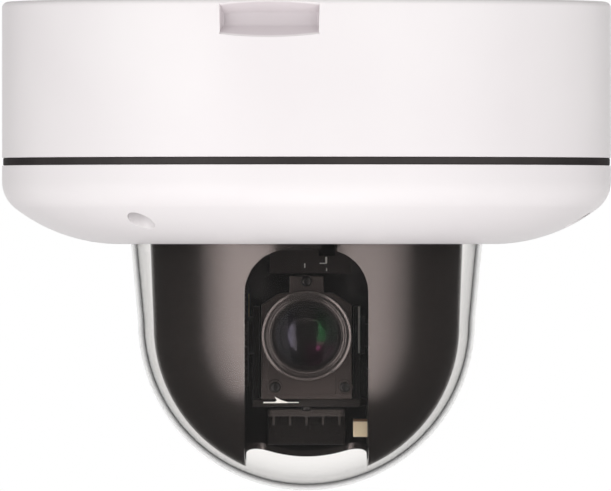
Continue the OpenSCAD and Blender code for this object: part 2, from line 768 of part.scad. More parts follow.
module slip_ring_stator() color("#3b3f45") difference() {
    union() {
        hung(chassis_z + stator_flange_t, stator_flange_t) {
            intersection() {
                circle(stator_flange_r);
                translate([-2 * stator_flange_r, stator_flat_y - 4 * stator_flange_r])
                    square(4 * stator_flange_r);
            }
            at([[-stator_lug_x, 0], [stator_lug_x, 0]]) circle(m2_head_d);
        }
        hung(chassis_z + stator_flange_t / 2, stator_flange_t / 2 + slip_ring_h) circle(d = slip_ring_d);
    }
    hung(chassis_z - 4, slip_ring_h) circle(slip_shaft_d / 2 + running_gap);
    hung(chassis_z + stator_flange_t + eps, stator_flange_t + 2 * eps)
        at([[-stator_lug_x, 0], [stator_lug_x, 0]]) circle(m2_d / 2 + screw_gap);
}

// Lead bundle from the top of the slip ring, up and over to the socket on the main board
module slip_ring_cable() color("#2a2a2e") {
    bend = 6;
    run_z = board_low - socket_size[2] / 2;
    rise = run_z - bend - chassis_z - stator_flange_t;
    translate([0, 0, chassis_z + stator_flange_t]) cylinder(d = lead_d, h = rise);
    translate([bend, 0, run_z - bend]) rotate([90, 0, 0]) rotate([0, 0, 90]) rotate_extrude(angle = 90)
        translate([bend, 0]) circle(d = lead_d);
    translate([bend, 0, run_z]) rotate([0, 90, 0]) cylinder(d = lead_d, h = socket_x - bend + 1);
    translate([socket_x + 1, -socket_size[1] / 2 + 1.2, run_z - socket_size[2] / 2 + 1.2])
        cube([3, socket_size[1] - 2.4, socket_size[2] - 2.4]);
}

module pan_pinion() color("#caa85f") rotate(pan_dir) translate([pan_centre, 0]) {
    hung(gear_z + 0.3, pan_gear_t + 0.6) rotate(180 + 180 / pan_pinion_teeth)
        polygon(gear_points(pan_pinion_teeth, pan_module));
    hung(chassis_z + 8, chassis_z + 8 - gear_low) circle(d = pan_shaft_d);
}

module pan_hub() color("#8d9196") difference() {
    union() {
        hung(chassis_low + hub_nut_h, bearing_w + hub_nut_h + 1) circle(hub_r);
        hung(race_low, race_low - hub_low) circle(hub_shoulder_r);
        hung(gear_low, hub_flange_t) circle(hub_flange_r);
    }
    hung(chassis_z + eps, chassis_z - hub_low + 2 * eps) circle(hub_bore);
    hung(gear_low + eps, hub_flange_t + 2 * eps) around(bolt_circle, bolt_dirs)
        circle(bolt_d / 2 + screw_gap);
}

module hub_nut() color("#b9bbbe") hung(chassis_low + hub_nut_h, hub_nut_h) difference() {
    circle(hub_shoulder_r + 0.6);
    circle(hub_r + seat_gap);
    around(hub_shoulder_r + 0.6, [for (i = [0 : 3]) 90 * i]) square([1.6, 2], center = true);
}

module pan_gear() color("#e3e0d6") hung(gear_z, pan_gear_t) difference() {
    rotate(pan_dir) polygon(gear_points(pan_teeth, pan_module));
    circle(hub_shoulder_r + seat_gap);
    around(bolt_circle, bolt_dirs) circle(bolt_d / 2 + screw_gap);
}

module turntable() color("#2f3033") hung(hub_low, table_t) difference() {
    circle(table_r);
    circle(lead_hole_r);
    around(bolt_circle, bolt_dirs) circle(bolt_d / 2 + screw_gap);
    around(peg_circle, peg_dirs) circle(peg_r + screw_gap);
}

module pan_bolts() color("#c4c4c6") around(bolt_circle, bolt_dirs)
    translate([0, 0, table_low - yoke_t]) screw(bolt_d, bolt_l, bolt_head_d, bolt_head_h);

module slip_ring_rotor() color("#55595f") difference() {
    union() {
        hung(chassis_z - 5, chassis_z - 5 - hub_low) circle(d = slip_shaft_d);
        hung(hub_low + rotor_flange_t, rotor_flange_t) circle(rotor_flange_r);
    }
    hung(hub_low + 6, 6 + eps) circle(lead_hole_r);
}

// Sheet yoke: a web under the turntable, a plain right arm and a left arm with the motor's lobe
module tilt_yoke() color("#7d8186") difference() {
    union() {
        hung(table_low, yoke_t) difference() {
            square([2 * arm_out, 2 * (bolt_circle - 2)], center = true);
            circle(lead_hole_r);
            around(bolt_circle, bolt_dirs) circle(bolt_d / 2 + screw_gap);
        }
        along_x(arm_x, yoke_t) arm_outline();
        along_x(-arm_out, yoke_t) {
            arm_outline();
            translate([tilt_motor_y, tilt_motor_z]) circle(tilt_lobe_r);
        }
    }
    along_x(-arm_out - eps, 2 * arm_out + 2 * eps) translate([0, tilt_z]) circle(bush_r + seat_gap);
    along_x(-arm_out - eps, yoke_t + 2 * eps) translate([tilt_motor_y, tilt_motor_z])
        circle(tilt_pilot_r + screw_gap);
}

// Arm of the yoke in (y, z)
module arm_outline() {
    translate([-arm_half, tilt_z]) square([2 * arm_half, table_low - tilt_z]);
    translate([0, tilt_z]) circle(arm_end_r);
}

module tilt_bushes() color("#b98d4c") for (side = [0, 1]) mirror([side, 0, 0]) {
    along_x(arm_x, yoke_t + bush_flange_t) translate([0, tilt_z]) ring(bush_r, trunnion_r + running_gap);
    along_x(arm_out, bush_flange_t) translate([0, tilt_z]) ring(bush_flange_r, bush_r - 0.5);
}

module tilt_motor() color("#c9cbce") difference() {
    translate([0, tilt_motor_y, tilt_motor_z]) rotate([0, -90, 0]) {
        translate([0, 0, arm_out]) cylinder(d = tilt_motor_d, h = tilt_motor_h);
        translate([0, 0, arm_x]) cylinder(r = tilt_pilot_r, h = yoke_t + eps);
    }
    translate([-arm_out - 6, tilt_motor_y, tilt_motor_z]) rotate([0, 90, 0])
        cylinder(r = tilt_shaft_d / 2 + running_gap, h = 6 + yoke_t + eps);
}

// Half section of the liner, then the slot through its front and bottom
module inner_liner() color("#2d2826") {
    difference() {
        rotate_extrude() {
            translate([0, liner_z]) intersection() {
                ring(liner_r, liner_in);
                translate([0, -2 * liner_r]) square(2 * liner_r);
            }
            polygon([[liner_in, liner_z], [liner_r, liner_z],
                [liner_top_r, floor_z], [liner_top_r, table_low],
                [liner_flange_in, table_low], [liner_flange_in, table_low - liner_flange_t],
                [liner_top_r - liner_wall, table_low - liner_flange_t], [liner_top_r - liner_wall, floor_z]]);
        }
        liner_slot();
    }
    hung(table_low + table_t, table_t + liner_flange_t / 2) around(peg_circle, peg_dirs) circle(peg_r);
}

// Cutter for the slot: an arch seen from the front, with rounded rear corners seen from above
module liner_slot() {
    half = slot_w / 2;
    reach = 2 * dome_out;
    arch = concat(
        [[-half, -reach], [half, -reach]],
        arc([half - slot_corner_r, slot_rise - slot_corner_r], slot_corner_r, 0, 90),
        arc([slot_corner_r - half, slot_rise - slot_corner_r], slot_corner_r, 90, 180));
    plan = concat(
        [[-half, -reach], [half, -reach]],
        arc([half - slot_back_r, slot_back - slot_back_r], slot_back_r, 0, 90, 4),
        arc([slot_back_r - half, slot_back - slot_back_r], slot_back_r, 90, 180, 4));
    intersection() {
        along_y(-reach, 2 * reach) polygon(arch);
        hung(table_low, reach) polygon(plan);
    }
}

module tilt_pinion() color("#caa85f") {
    along_x(-tilt_gear_x - tilt_gear_t - 0.2, tilt_gear_t + 0.4) translate([tilt_motor_y, tilt_motor_z])
        rotate(tilt_pinion_dir + 180 + 180 / tilt_pinion_teeth)
            polygon(gear_points(tilt_pinion_teeth, tilt_module));
    along_x(-arm_out - 5.8, arm_out + 5.8 - tilt_gear_x) translate([tilt_motor_y, tilt_motor_z])
        circle(d = tilt_shaft_d);
}

module camera_cradle() color("#4a4747") difference() {
    union() {
        hung(cradle_z, cradle_t) {
            translate([-cradle_out, -cradle_front]) square([2 * cradle_out, cradle_front + cradle_rear]);
            translate([0, -6]) square([side_board_x, 10]);
        }
        for (side = [0, 1]) mirror([side, 0, 0]) {
            along_x(cradle_in, cradle_side_t) translate([-side_half, cradle_low])
                square([2 * side_half, tilt_z + side_up - cradle_low]);
            along_x(cradle_in, arm_out + bush_flange_t + 0.4 - cradle_in) translate([0, tilt_z])
                circle(trunnion_r);
            along_x(cradle_in, tilt_gear_x - cradle_in) translate([0, tilt_z]) circle(trunnion_r + 2);
        }
    }
    for (y = foot_screws) translate([0, y, cradle_low - eps])
        cylinder(r = lens_screw_d / 2 + screw_gap, h = cradle_t + 2 * eps);
}

module tilt_gear() color("#e3e0d6") along_x(-tilt_gear_x - tilt_gear_t, tilt_gear_t) translate([0, tilt_z])
    difference() {
        rotate(tilt_pinion_dir) polygon(gear_points(tilt_teeth, tilt_module));
        circle(trunnion_r + seat_gap);
        around(8.2, [for (i = [0 : 4]) 72 * i]) circle(2);
    }

module lens_housing() color("#2c2a2a") difference() {
    union() {
        along_y(-block_front, block_length) difference() {
            polygon(block_outline(0));
            polygon(block_outline(block_wall));
        }
        intersection() {
            along_y(-block_front, block_length) union() {
                polygon(block_outline(block_wall / 2));
                translate([-lens_screw_boss, 0]) square([2 * lens_screw_boss, tab_up + 1]);
            }
            union() {
                along_y(-block_front, 6) at(front_screws) circle(lens_screw_boss);
                along_y(block_rear - 6, 6) at(rear_screws) circle(lens_screw_boss);
                for (y = foot_screws) translate([0, y, cradle_z]) cylinder(r = 1.5, h = 5);
                along_y(-block_front, 6) translate([-lens_screw_boss, block_up - block_wall / 2])
                    square([2 * lens_screw_boss, tab_up - 1.4 - block_up + block_wall / 2]);
            }
        }
    }
    along_y(-block_front - eps, 5.5 + eps) at(front_screws) circle(lens_screw_d / 2 + screw_gap);
    along_y(block_rear - 5.5, 5.5 + eps) at(rear_screws) circle(lens_screw_d / 2 + screw_gap);
    for (y = foot_screws) translate([0, y, cradle_z - eps])
        cylinder(r = lens_screw_d / 2 + screw_gap, h = 4.6 + eps);
}

module lens_front_plate() color("#46403e") difference() {
    along_y(front_y, plate_t) difference() {
        union() {
            polygon(block_outline(0));
            translate([-tab_w / 2, 0]) square([tab_w, tab_up]);
        }
        circle(barrel_r + seat_gap);
        at(front_screws) circle(lens_screw_d / 2 + screw_gap);
    }
    along_y(-block_front - journal_l, journal_l + eps) at([zoom_at, focus_at])
        circle(journal_r + running_gap);
}

module lens_screws() color("#9a9a9c") {
    along_axis = [-90, 0, 0];
    at([for (p = front_screws) [p[0], front_y, tilt_z + p[1]]]) rotate(along_axis)
        screw(lens_screw_d, lens_screw_l, screw_head_d, screw_head_h);
    at([for (p = rear_screws) [p[0], rear_y + sensor_gap + board_t, tilt_z + p[1]]]) rotate(-along_axis)
        screw(lens_screw_d, lens_screw_l, screw_head_d, screw_head_h);
    at([for (y = foot_screws) [0, y, cradle_low]])
        screw(lens_screw_d, lens_screw_l, screw_head_d, screw_head_h);
}

// Stepped ring before the front plate, with the barrel that holds the front glass behind it
module lens_front_ring() color("#5a5452") lathe_y() polygon([
    [ring_r - 0.8, front_y - ring_depth], [ring_r, front_y - ring_depth + 0.8], [ring_r, front_y],
    [barrel_r, front_y], [barrel_r, front_y + plate_t + barrel_l],
    [glass_r - 1.2, front_y + plate_t + barrel_l],
    [glass_r - 1.2, front_y + plate_t], [glass_r + seat_gap, front_y + plate_t],
    [glass_r + seat_gap, front_y - 1], [glass_r + 0.9, front_y - 1], [glass_r + 0.9, front_y - 2],
    [glass_r + 1.7, front_y - 2], [glass_r + 1.7, front_y - ring_depth]]);

module front_lens() color("#32363a", 0.6)
    lens(front_y, glass_r, plate_t, lens_rim / 2, front_curve, lens_rim + 0.5, rear_curve);

module guide_rods() color("#d5d7d9") along_y(-block_front, block_length) at(rods) circle(rod_r);

module lens_rear_plate() color("#4b4f54") difference() {
    union() {
        along_y(block_rear, plate_t) polygon(block_outline(0));
        along_y(block_rear, plate_t + sensor_gap) at(rear_screws) circle(lens_screw_boss);
        for (side = [0, 1]) translate([0, 0, tilt_z]) mirror([0, 0, side])
            along_x(-block_half + block_wall + 0.3, block_w - 2 * block_wall - 0.6) filter_rail();
    }
    along_y(block_rear - eps, plate_t + 2 * eps) square(sensor_size + [1, 1], center = true);
    along_y(block_rear - eps, plate_t + sensor_gap + 2 * eps) at(rear_screws)
        circle(lens_screw_d / 2 + screw_gap);
}

// Track for the filter slide in (y, z)
module filter_rail() difference() {
    translate([filter_y - 1, rail_lip]) square([block_rear - filter_y + 1, rail_half - rail_lip]);
    translate([filter_y - slide_gap, rail_lip - eps])
        square([filter_t + 2 * slide_gap, filter_half + slide_gap - rail_lip + eps]);
}

module lens_motors() color("#c9cbce") difference() {
    along_y(lens_motor_y, lens_motor_l) at([zoom_at, focus_at]) circle(d = lens_motor_d);
    along_y(lens_motor_y - eps, 6 + eps) at([zoom_at, focus_at]) circle(journal_r + running_gap);
}

module sensor_board() color("#1f5a3c") along_y(rear_y + sensor_gap, board_t) difference() {
    polygon(block_outline(0.2));
    at(rear_screws) circle(lens_screw_d / 2 + screw_gap);
}

module image_sensor() color("#6b5f78") along_y(rear_y + sensor_gap - 2, 2) square(sensor_size, center = true);

// Rounded bar with a comb of ribs below it, standing on a plain rear body
module ribbed_bracket() color("#333030") {
    body_y = bracket_front + 4;
    translate([-bracket_w / 2, body_y, cradle_low - bracket_h])
        cube([bracket_w, bracket_l - 4, bracket_h]);
    translate([-bracket_w / 2, bracket_front, cradle_low - bracket_gap - bracket_bar_h])
        cube([bracket_w, 4 + eps, bracket_bar_h]);
    for (i = [0 : rib_n - 1]) translate([(i - (rib_n - 1) / 2) * rib_pitch - rib_t / 2, bracket_front + 1,
            cradle_low - bracket_gap - bracket_bar_h - rib_h])
        cube([rib_t, 3 + eps, rib_h + bracket_bar_h / 2]);
}

module side_board() color("#1f5a3c") along_x(side_board_x, 1.2)
    translate([side_board_y, side_board_top - side_board_h]) square([side_board_l, side_board_h]);

module board_connector() color("#e8d6b4") difference() {
    translate([side_board_x - connector_size[0], side_board_y + 1, connector_z - connector_size[2]])
        cube(connector_size);
    translate([side_board_x - connector_size[0] + 0.6, side_board_y + 1.8, connector_z - 2.5])
        cube([connector_size[0] - 1.2, connector_size[1] - 1.6, 2.5 + eps]);
}

// Lens carrier on the guide rods, with a nut arm that reaches down to its lead screw
module lens_carrier(y, len, lens_r, screw_at) difference() {
    along_y(y, len) difference() {
        union() {
            circle(carrier_r);
            at(rods) circle(carrier_ear);
            for (p = rods) rotate(atan2(p[1], p[0])) translate([0, -carrier_ear * 0.8])
                square([norm(p), carrier_ear * 1.6]);
            translate([screw_at[0] - 2.2, screw_at[1] - 2.2]) square([4.4, 8]);
        }
        at(rods) circle(rod_r + running_gap);
        translate(screw_at) circle(lead_screw_r + running_gap);
        circle(lens_r - lens_rim);
    }
    along_y(y - eps, len / 2 + lens_edge / 2 + eps) circle(lens_r + seat_gap);
}

module zoom_carrier() color("#232323") lens_carrier(zoom_y, zoom_l, zoom_lens_d / 2, zoom_at);

module zoom_lens() color("#54606a", 0.6)
    lens(zoom_y + (zoom_l - lens_edge) / 2, zoom_lens_d / 2, lens_edge, lens_rim, 16, lens_rim + 0.2, 16);

module focus_carrier() color("#232323") lens_carrier(focus_y, focus_l, focus_lens_d / 2, focus_at);

module focus_lens() color("#54606a", 0.6)
    lens(focus_y + (focus_l - lens_edge) / 2, focus_lens_d / 2, lens_edge, lens_rim, 18, lens_rim + 0.2, 18);

// Lead screw between the front plate and its motor, with a plain journal at each end
module lead_screw(p) {
    along_y(-block_front + 0.4, lens_motor_y + block_front - 0.8) translate(p) circle(lead_screw_r);
    along_y(-block_front - journal_l + 0.2, lens_motor_y + block_front + journal_l + 5)
        translate(p) circle(journal_r);
}

module zoom_screw() color("#d5d7d9") lead_screw(zoom_at);

module focus_screw() color("#d5d7d9") lead_screw(focus_at);

module filter_slide() color("#26272b") along_y(filter_y, filter_t) difference() {
    translate([-filter_step - filter_end, -filter_half])
        square([filter_step + 2 * filter_end, 2 * filter_half]);
    at([[0, 0], [-filter_step, 0]]) circle(filter_window + seat_gap);
}

module filter_glasses() color("#8fb7c4", 0.6) along_y(filter_y, filter_t)
    at([[0, 0], [-filter_step, 0]]) circle(filter_window);

base_housing();
housing_gasket();
dome_cover();
cover_screws();
dome_bubble();
dome_seal();
dome_retainer();
m3_screws();
main_board();
board_standoffs();
network_jack();
power_terminal();
processor_chip();
processor_heatsink();
capacitors();
cable_socket();
chassis_plate();
pan_motor();
m2_screws();
pan_bearing_outer_race();
slip_ring_stator();
slip_ring_cable();
pan_pinion();
pan_bearing_balls();
pan_bearing_cage();
pan_hub();
pan_bearing_inner_race();
hub_nut();
pan_gear();
turntable();
pan_bolts();
slip_ring_rotor();
tilt_yoke();
tilt_bushes();
tilt_motor();
inner_liner();
tilt_pinion();
camera_cradle();
tilt_gear();
lens_housing();
lens_front_plate();
lens_screws();
lens_front_ring();
front_lens();
guide_rods();
lens_rear_plate();
lens_motors();
sensor_board();
image_sensor();
ribbed_bracket();
side_board();
board_connector();
zoom_carrier();
zoom_lens();
zoom_screw();
focus_carrier();
focus_lens();
focus_screw();
filter_slide();
filter_glasses();
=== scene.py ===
"""Looks of a ceiling-mount mini dome camera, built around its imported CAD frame."""

import logging
import math
from collections.abc import Callable, Iterable, Sequence
from dataclasses import dataclass
from enum import Enum
from functools import cache

import bmesh
import bpy
from mathutils import Matrix, Vector


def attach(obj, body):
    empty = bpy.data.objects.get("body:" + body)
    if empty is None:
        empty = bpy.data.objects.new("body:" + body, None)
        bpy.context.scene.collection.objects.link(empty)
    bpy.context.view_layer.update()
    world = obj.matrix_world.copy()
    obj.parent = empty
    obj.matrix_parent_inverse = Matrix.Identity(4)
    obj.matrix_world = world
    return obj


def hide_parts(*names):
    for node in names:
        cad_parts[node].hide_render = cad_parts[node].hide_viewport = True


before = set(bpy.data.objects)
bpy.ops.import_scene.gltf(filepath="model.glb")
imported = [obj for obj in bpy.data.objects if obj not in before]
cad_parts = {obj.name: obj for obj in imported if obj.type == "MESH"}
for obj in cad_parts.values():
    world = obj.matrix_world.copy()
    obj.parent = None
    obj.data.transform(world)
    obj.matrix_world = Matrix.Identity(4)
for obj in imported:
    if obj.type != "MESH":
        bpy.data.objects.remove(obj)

LOG = logging.getLogger("dome_camera")
MM = 0.001
DOUBLES = 0.0005
TILT_Z = -87.5
FULL_TURN = 2 * math.pi
TO_LENS_AXIS = Matrix.Translation((0, 0, TILT_Z)) @ Matrix.Rotation(-math.pi / 2, 4, "X")

Point = tuple[float, float]
Place = tuple[float, float, float]
Block = tuple[Place, Place]
Colour = tuple[float, float, float]
Socket = bpy.types.NodeSocket
Node = bpy.types.Node


class Carve(Enum):
    """What one form does to another."""

    CUT = "DIFFERENCE"
    JOIN = "UNION"
    KEEP = "INTERSECT"


class Body(Enum):
    """Moving groups that the new pieces ride on."""

    BASE = "base"
    HEAD = "pan_head"
    CAMERA = "camera"


class Slot(Enum):
    """Material slots of the record."""

    PAINT = "white_paint"
    RUBBER = "black_rubber"
    DOME = "clear_dome"
    LINER = "black_gloss"
    BLACK = "black_plastic"
    GRAPHITE = "graphite_plastic"
    GLASS = "lens_glass"
    STEEL = "zinc_steel"
    BOARD = "green_board"
    CREAM = "cream_plastic"


class Output(Enum):
    """Last nodes of the node trees."""

    SURFACE = "ShaderNodeOutputMaterial"
    LAMP = "ShaderNodeOutputLight"
    WORLD = "ShaderNodeOutputWorld"


def circle_spots(radius: float, first: float, count: int) -> list[Point]:
    """Gives evenly spaced points of a circle, the first at an angle counted from +X in degrees."""
    turns = [math.radians(first + 360 / count * number) for number in range(count)]
    return [(radius * math.cos(turn), radius * math.sin(turn)) for turn in turns]


def quarter_spots(radius: float, offset: float = 0.0) -> list[Point]:
    """Gives four points of a circle, midway between the axes and turned on by an offset in degrees."""
    return circle_spots(radius, offset + 45, 4)


def ground_face(curve: float, radius: float) -> Point:
    """Gives the half turn, in degrees, and the height of a lens face with that curve and radius."""
    turn = math.asin(radius / curve)
    return math.degrees(turn), curve * (1 - math.cos(turn))


class Nodes:
    """Node tree of a finish, a lamp or the surround."""

    def __init__(self, owner: bpy.types.ID) -> None:
        """Empties the tree of the material, light or world that owns it."""
        owner.use_nodes = True
        self.owner, self.nodes, self.links = owner, owner.node_tree.nodes, owner.node_tree.links
        self.nodes.clear()

    def add(self, kind: str, sockets: dict | None = None, **settings: object) -> Node:
        """Adds a node.

        Args:
            kind: Type name of the node.
            sockets: Values or output sockets for its inputs.
            **settings: Properties of the node.

        Returns:
            The new node.
        """
        node = self.nodes.new(kind)
        for key, value in settings.items():
            setattr(node, key, value)
        for key, value in (sockets or {}).items():
            if isinstance(value, Socket):
                self.links.new(value, node.inputs[key])
            else:
                node.inputs[key].default_value = value
        return node

    def axes(self, place: Socket) -> bpy.types.NodeOutputs:
        """Splits a place into its three axes."""
        return self.add("ShaderNodeSeparateXYZ", {0: place}).outputs

    def span(self, fac: Socket, ends: Point, low: float = 0.0, high: float = 1.0) -> Socket:
        """Maps a value onto a range, whose low and high are reached at the two ends."""
        sockets = {"Value": fac, "From Min": ends[0], "From Max": ends[1], "To Min": low, "To Max": high}
        return self.add("ShaderNodeMapRange", sockets).outputs["Result"]

    def sum_up(self, operation: str, *values: Socket | float) -> Socket:
        """Works out a sum on sockets and numbers."""
        return self.add("ShaderNodeMath", dict(enumerate(values)), operation=operation).outputs[0]

    def mix(self, share: Socket, first: Socket, second: Socket | float, kind: str = "FLOAT") -> Socket:
        """Mixes two values, or two colours if the kind is RGBA, by the share of the second."""
        sockets = {"Factor": share, "A": first, "B": second}
        return self.add("ShaderNodeMix", sockets, data_type=kind).outputs["Result"]

    def either(self, share: Socket, first: Node, second: Node) -> Node:
        """Mixes two shaders."""
        return self.add("ShaderNodeMixShader", {0: share, 1: first.outputs[0], 2: second.outputs[0]})

    def show(self, shader: Node, output: Output = Output.SURFACE) -> bpy.types.ID:
        """Sends a shader to the output and gives the tree's owner."""
        self.add(output.value, {"Surface": shader.outputs[0]}).is_active_output = True
        return self.owner


class Graph(Nodes):
    """Node tree of one finish, with its pattern in object coordinates."""

    def __init__(self, name: str) -> None:
        """Starts an empty material of that name."""
        super().__init__(bpy.data.materials.new(name))
        self.coords = self.add("ShaderNodeTexCoord").outputs["Object"]

    def noise(self, place: Socket, scale: float, detail: float) -> Socket:
        """Adds a noise pattern with its grains per metre and its octaves of finer noise."""
        sockets = {"Vector": place, "Scale": scale, "Detail": detail}
        return self.add("ShaderNodeTexNoise", sockets).outputs["Fac"]

    def stretched(self, scale: Place) -> Socket:
        """Gives the coordinates with a scale along each axis."""
        return self.add("ShaderNodeMapping", {"Vector": self.coords, "Scale": scale}).outputs["Vector"]

    def ramp(self, fac: Socket, low: Colour, high: Colour, ends: Point = (0.0, 1.0)) -> Socket:
        """Turns a value into a colour between two colours.

        Args:
            fac: Socket with the value.
            low: Colour at the low end.
            high: Colour at the high end.
            ends: Values where the two colours are reached.

        Returns:
            The colour socket.
        """
        node = self.add("ShaderNodeValToRGB", {"Fac": fac})
        for stop, at, colour in zip(node.color_ramp.elements, ends, (low, high)):
            stop.position = at
            stop.color = (*colour, 1)
        return node.outputs["Color"]

    def over(self, share: Socket, under: Socket, colour: Colour) -> Socket:
        """Lays a plain colour over a colour socket."""
        return self.mix(share, under, (*colour, 1), "RGBA")

    def bump(self, height: Socket, depth: float) -> Socket:
        """Turns a pattern into relief of a depth in metres."""
        sockets = {"Height": height, "Strength": 1.0, "Distance": depth}
        return self.add("ShaderNodeBump", sockets).outputs["Normal"]


@dataclass(frozen=True)
class Finish:
    """A moulded, painted or metal surface with mottled colour and a fine grain."""

    name: str
    colour: Colour
    tint: Colour
    rough: float
    spread: float = 0.06
    metal: float = 0.0
    ior: float = 1.5
    mottle: float = 60.0
    mottle_detail: float = 3.0
    grain: float = 3000.0
    grain_detail: float = 2.0
    contrast: Point = (0.3, 0.7)
    relief: float = 0.00001
    stretch: Place = (1, 1, 1)
    coat: float = 0.0
    coat_rough: float = 0.1
    gleam: Colour = (1, 1, 1)

    def pattern(self, graph: Graph) -> Socket:
        """Gives the colour socket of the surface."""
        mottle = graph.noise(graph.coords, self.mottle, self.mottle_detail)
        return graph.ramp(mottle, self.tint, self.colour, self.contrast)

    @cache
    def material(self) -> bpy.types.Material:
        """Builds the material once.

        Returns:
            The material.
        """
        graph = Graph(self.name)
        grains = graph.noise(graph.stretched(self.stretch), self.grain, self.grain_detail)
        smooth, dull = self.rough - self.spread, self.rough + self.spread
        sockets = {
            "Base Color": self.pattern(graph),
            "Roughness": graph.span(grains, self.contrast, smooth, dull),
            "Metallic": self.metal,
            "IOR": self.ior,
            "Coat Weight": self.coat,
            "Coat Roughness": self.coat_rough,
            "Specular Tint": (*self.gleam, 1),
        }
        if self.relief:
            sockets["Normal"] = graph.bump(grains, self.relief)
        return graph.show(graph.add("ShaderNodeBsdfPrincipled", sockets))


@dataclass(frozen=True)
class BoardFinish(Finish):
    """Solder mask over copper tracks, with bare pads."""

    track: float = 260.0
    track_gap: float = 0.08
    pads: float = 420.0
    pad_edge: Point = (0.12, 0.16)
    pad_colour: Colour = (0.62, 0.5, 0.26)

    def pattern(self, graph: Graph) -> Socket:
        """Gives the colour socket of tracks and pads."""
        tracks = graph.add("ShaderNodeTexBrick", {
            "Vector": graph.coords, "Color1": (*self.colour, 1), "Color2": (*self.colour, 1),
            "Mortar": (*self.tint, 1), "Scale": self.track, "Mortar Size": self.track_gap})
        cells = graph.add("ShaderNodeTexVoronoi", {"Vector": graph.coords, "Scale": self.pads})
        spots = graph.span(cells.outputs["Distance"], self.pad_edge, 1.0, 0.0)
        return graph.over(spots, tracks.outputs["Color"], self.pad_colour)


@dataclass(frozen=True)
class BandedFinish(Finish):
    """A surface whose colour changes along one axis: on the ribbed bar a painted highlight across its lit
    front, on the connector a darker top.
    """

    axis: str = "Y"
    ends: Point = (0.0, 1.0)

    def pattern(self, graph: Graph) -> Socket:
        """Gives the colour socket, from tint at the first place to colour at the last."""
        share = graph.span(graph.axes(graph.coords)[self.axis], self.ends)
        return graph.ramp(share, self.tint, self.colour)


@dataclass(frozen=True)
class PaintFinish(Finish):
    """White paint on the outside, with painted shade inside the recess of the rim: a darker lilac grey that
    stands for the shade falling there.
    """

    # Painted shade: the recess takes this darker colour in place of the shade that falls in it.
    recess_shade: Colour = (0.595, 0.545, 0.56)
    reach: Point = (0.0791, 0.0796)
    floor: Point = (-0.0125, -0.0115)
    roof: Point = (-0.0004, -0.0002)

    def pattern(self, graph: Graph) -> Socket:
        """Gives the colour socket of the paint and of the painted shade in the recess."""
        axes = graph.axes(graph.coords)
        flat = graph.add("ShaderNodeCombineXYZ", {"X": axes["X"], "Y": axes["Y"]}).outputs[0]
        reach = graph.add("ShaderNodeVectorMath", {0: flat}, operation="LENGTH").outputs["Value"]
        inside = graph.span(reach, self.reach, 1.0, 0.0)
        for share in (graph.span(axes["Z"], self.floor), graph.span(axes["Z"], self.roof, 1.0, 0.0)):
            inside = graph.sum_up("MULTIPLY", inside, share)
        return graph.over(inside, Finish.pattern(self, graph), self.recess_shade)


@dataclass(frozen=True)
class PaintedReflectionFinish(Finish):
    """Dark coated glass with painted reflection colours: violet at the left, green at the right and magenta
    low at the right, set by position where the coloured reflections fall.
    """

    violet_x: Point = (-0.0045, -0.0015)
    green: Colour = (0.01, 0.05, 0.016)
    green_x: Point = (0.0012, 0.0035)
    magenta: Colour = (0.1, 0.022, 0.055)
    magenta_x: Point = (-0.001, 0.001)
    magenta_z: Point = (-0.0905, -0.0885)

    def pattern(self, graph: Graph) -> Socket:
        """Gives the colour socket of the coating with its painted reflection colours."""
        axes = graph.axes(graph.coords)
        left = graph.ramp(graph.span(axes["X"], self.violet_x), self.colour, self.tint)
        across = graph.over(graph.span(axes["X"], self.green_x), left, self.green)
        low = graph.span(axes["Z"], self.magenta_z, 1.0, 0.0)
        low = graph.sum_up("MULTIPLY", low, graph.span(axes["X"], self.magenta_x))
        return graph.over(low, across, self.magenta)


@dataclass(frozen=True)
class ClearFinish:
    """Clear plastic or coated glass that lets the lamps through."""

    name: str
    colour: Colour
    ior: float
    haze: float = 0.02
    smear: float = 35.0
    smear_detail: float = 4.0
    smear_ends: Point = (0.45, 0.8)
    clear: float = 1.0
    glint: float = 1.0

    @cache
    def material(self) -> bpy.types.Material:
        """Builds the material once.

        Returns:
            The material.
        """
        graph = Graph(self.name)
        rough = 0.0
        if self.haze:
            smears = graph.noise(graph.coords, self.smear, self.smear_detail)
            rough = graph.span(smears, self.smear_ends, 0.0, self.haze)
        glass = graph.add("ShaderNodeBsdfPrincipled", {
            "Base Color": (*self.colour, 1),
            "Roughness": rough,
            "IOR": self.ior,
            "Transmission Weight": self.clear,
            "Specular Tint": (self.glint, self.glint, self.glint, 1),
        })
        open_way = graph.add("ShaderNodeBsdfTransparent", {"Color": (*self.colour, 1)})
        shadow = graph.add("ShaderNodeLightPath").outputs["Is Shadow Ray"]
        return graph.show(graph.either(shadow, glass, open_way))


WARM: Colour = (1.0, 0.87, 0.84)
PAINT = PaintFinish("white_paint", (0.778, 0.752, 0.752), (0.74, 0.707, 0.714), 0.38, mottle=14, grain=2600,
                    relief=0.000006)
RUBBER = Finish("seal_rubber", (0.035, 0.029, 0.027), (0.025, 0.021, 0.02), 0.6, grain=1800)
DOME = ClearFinish("clear_dome", (1.0, 0.99, 0.98), 1.25, haze=0.0, clear=0.9962, glint=0.02)
LINER = Finish("liner_black", (0.007, 0.0056, 0.005), (0.005, 0.004, 0.0035), 0.2, 0.04, ior=2.46, grain=5200,
               relief=0.000004, gleam=WARM)
BLACK = Finish("black_plastic", (0.016, 0.0135, 0.0125), (0.011, 0.0095, 0.0088), 0.5, grain=2600, gleam=WARM)
GRAPHITE = Finish("graphite_plastic", (0.037, 0.0285, 0.0265), (0.027, 0.021, 0.0195), 0.42, grain=3600,
                  relief=0.000012, gleam=WARM)
CRADLE = Finish("cradle_black", (0.012, 0.01, 0.009), (0.009, 0.0075, 0.007), 0.5, grain=3000, gleam=WARM)
# Painted highlight: the fronts of the bar and its ribs are lighter than the block behind, standing for the
# light they catch.
BAR = BandedFinish("bar_black", (0.003, 0.0025, 0.0022), (0.048, 0.04, 0.037), 0.3, ior=1.6, grain=3000,
                   gleam=WARM, ends=(-0.0149, -0.0138))
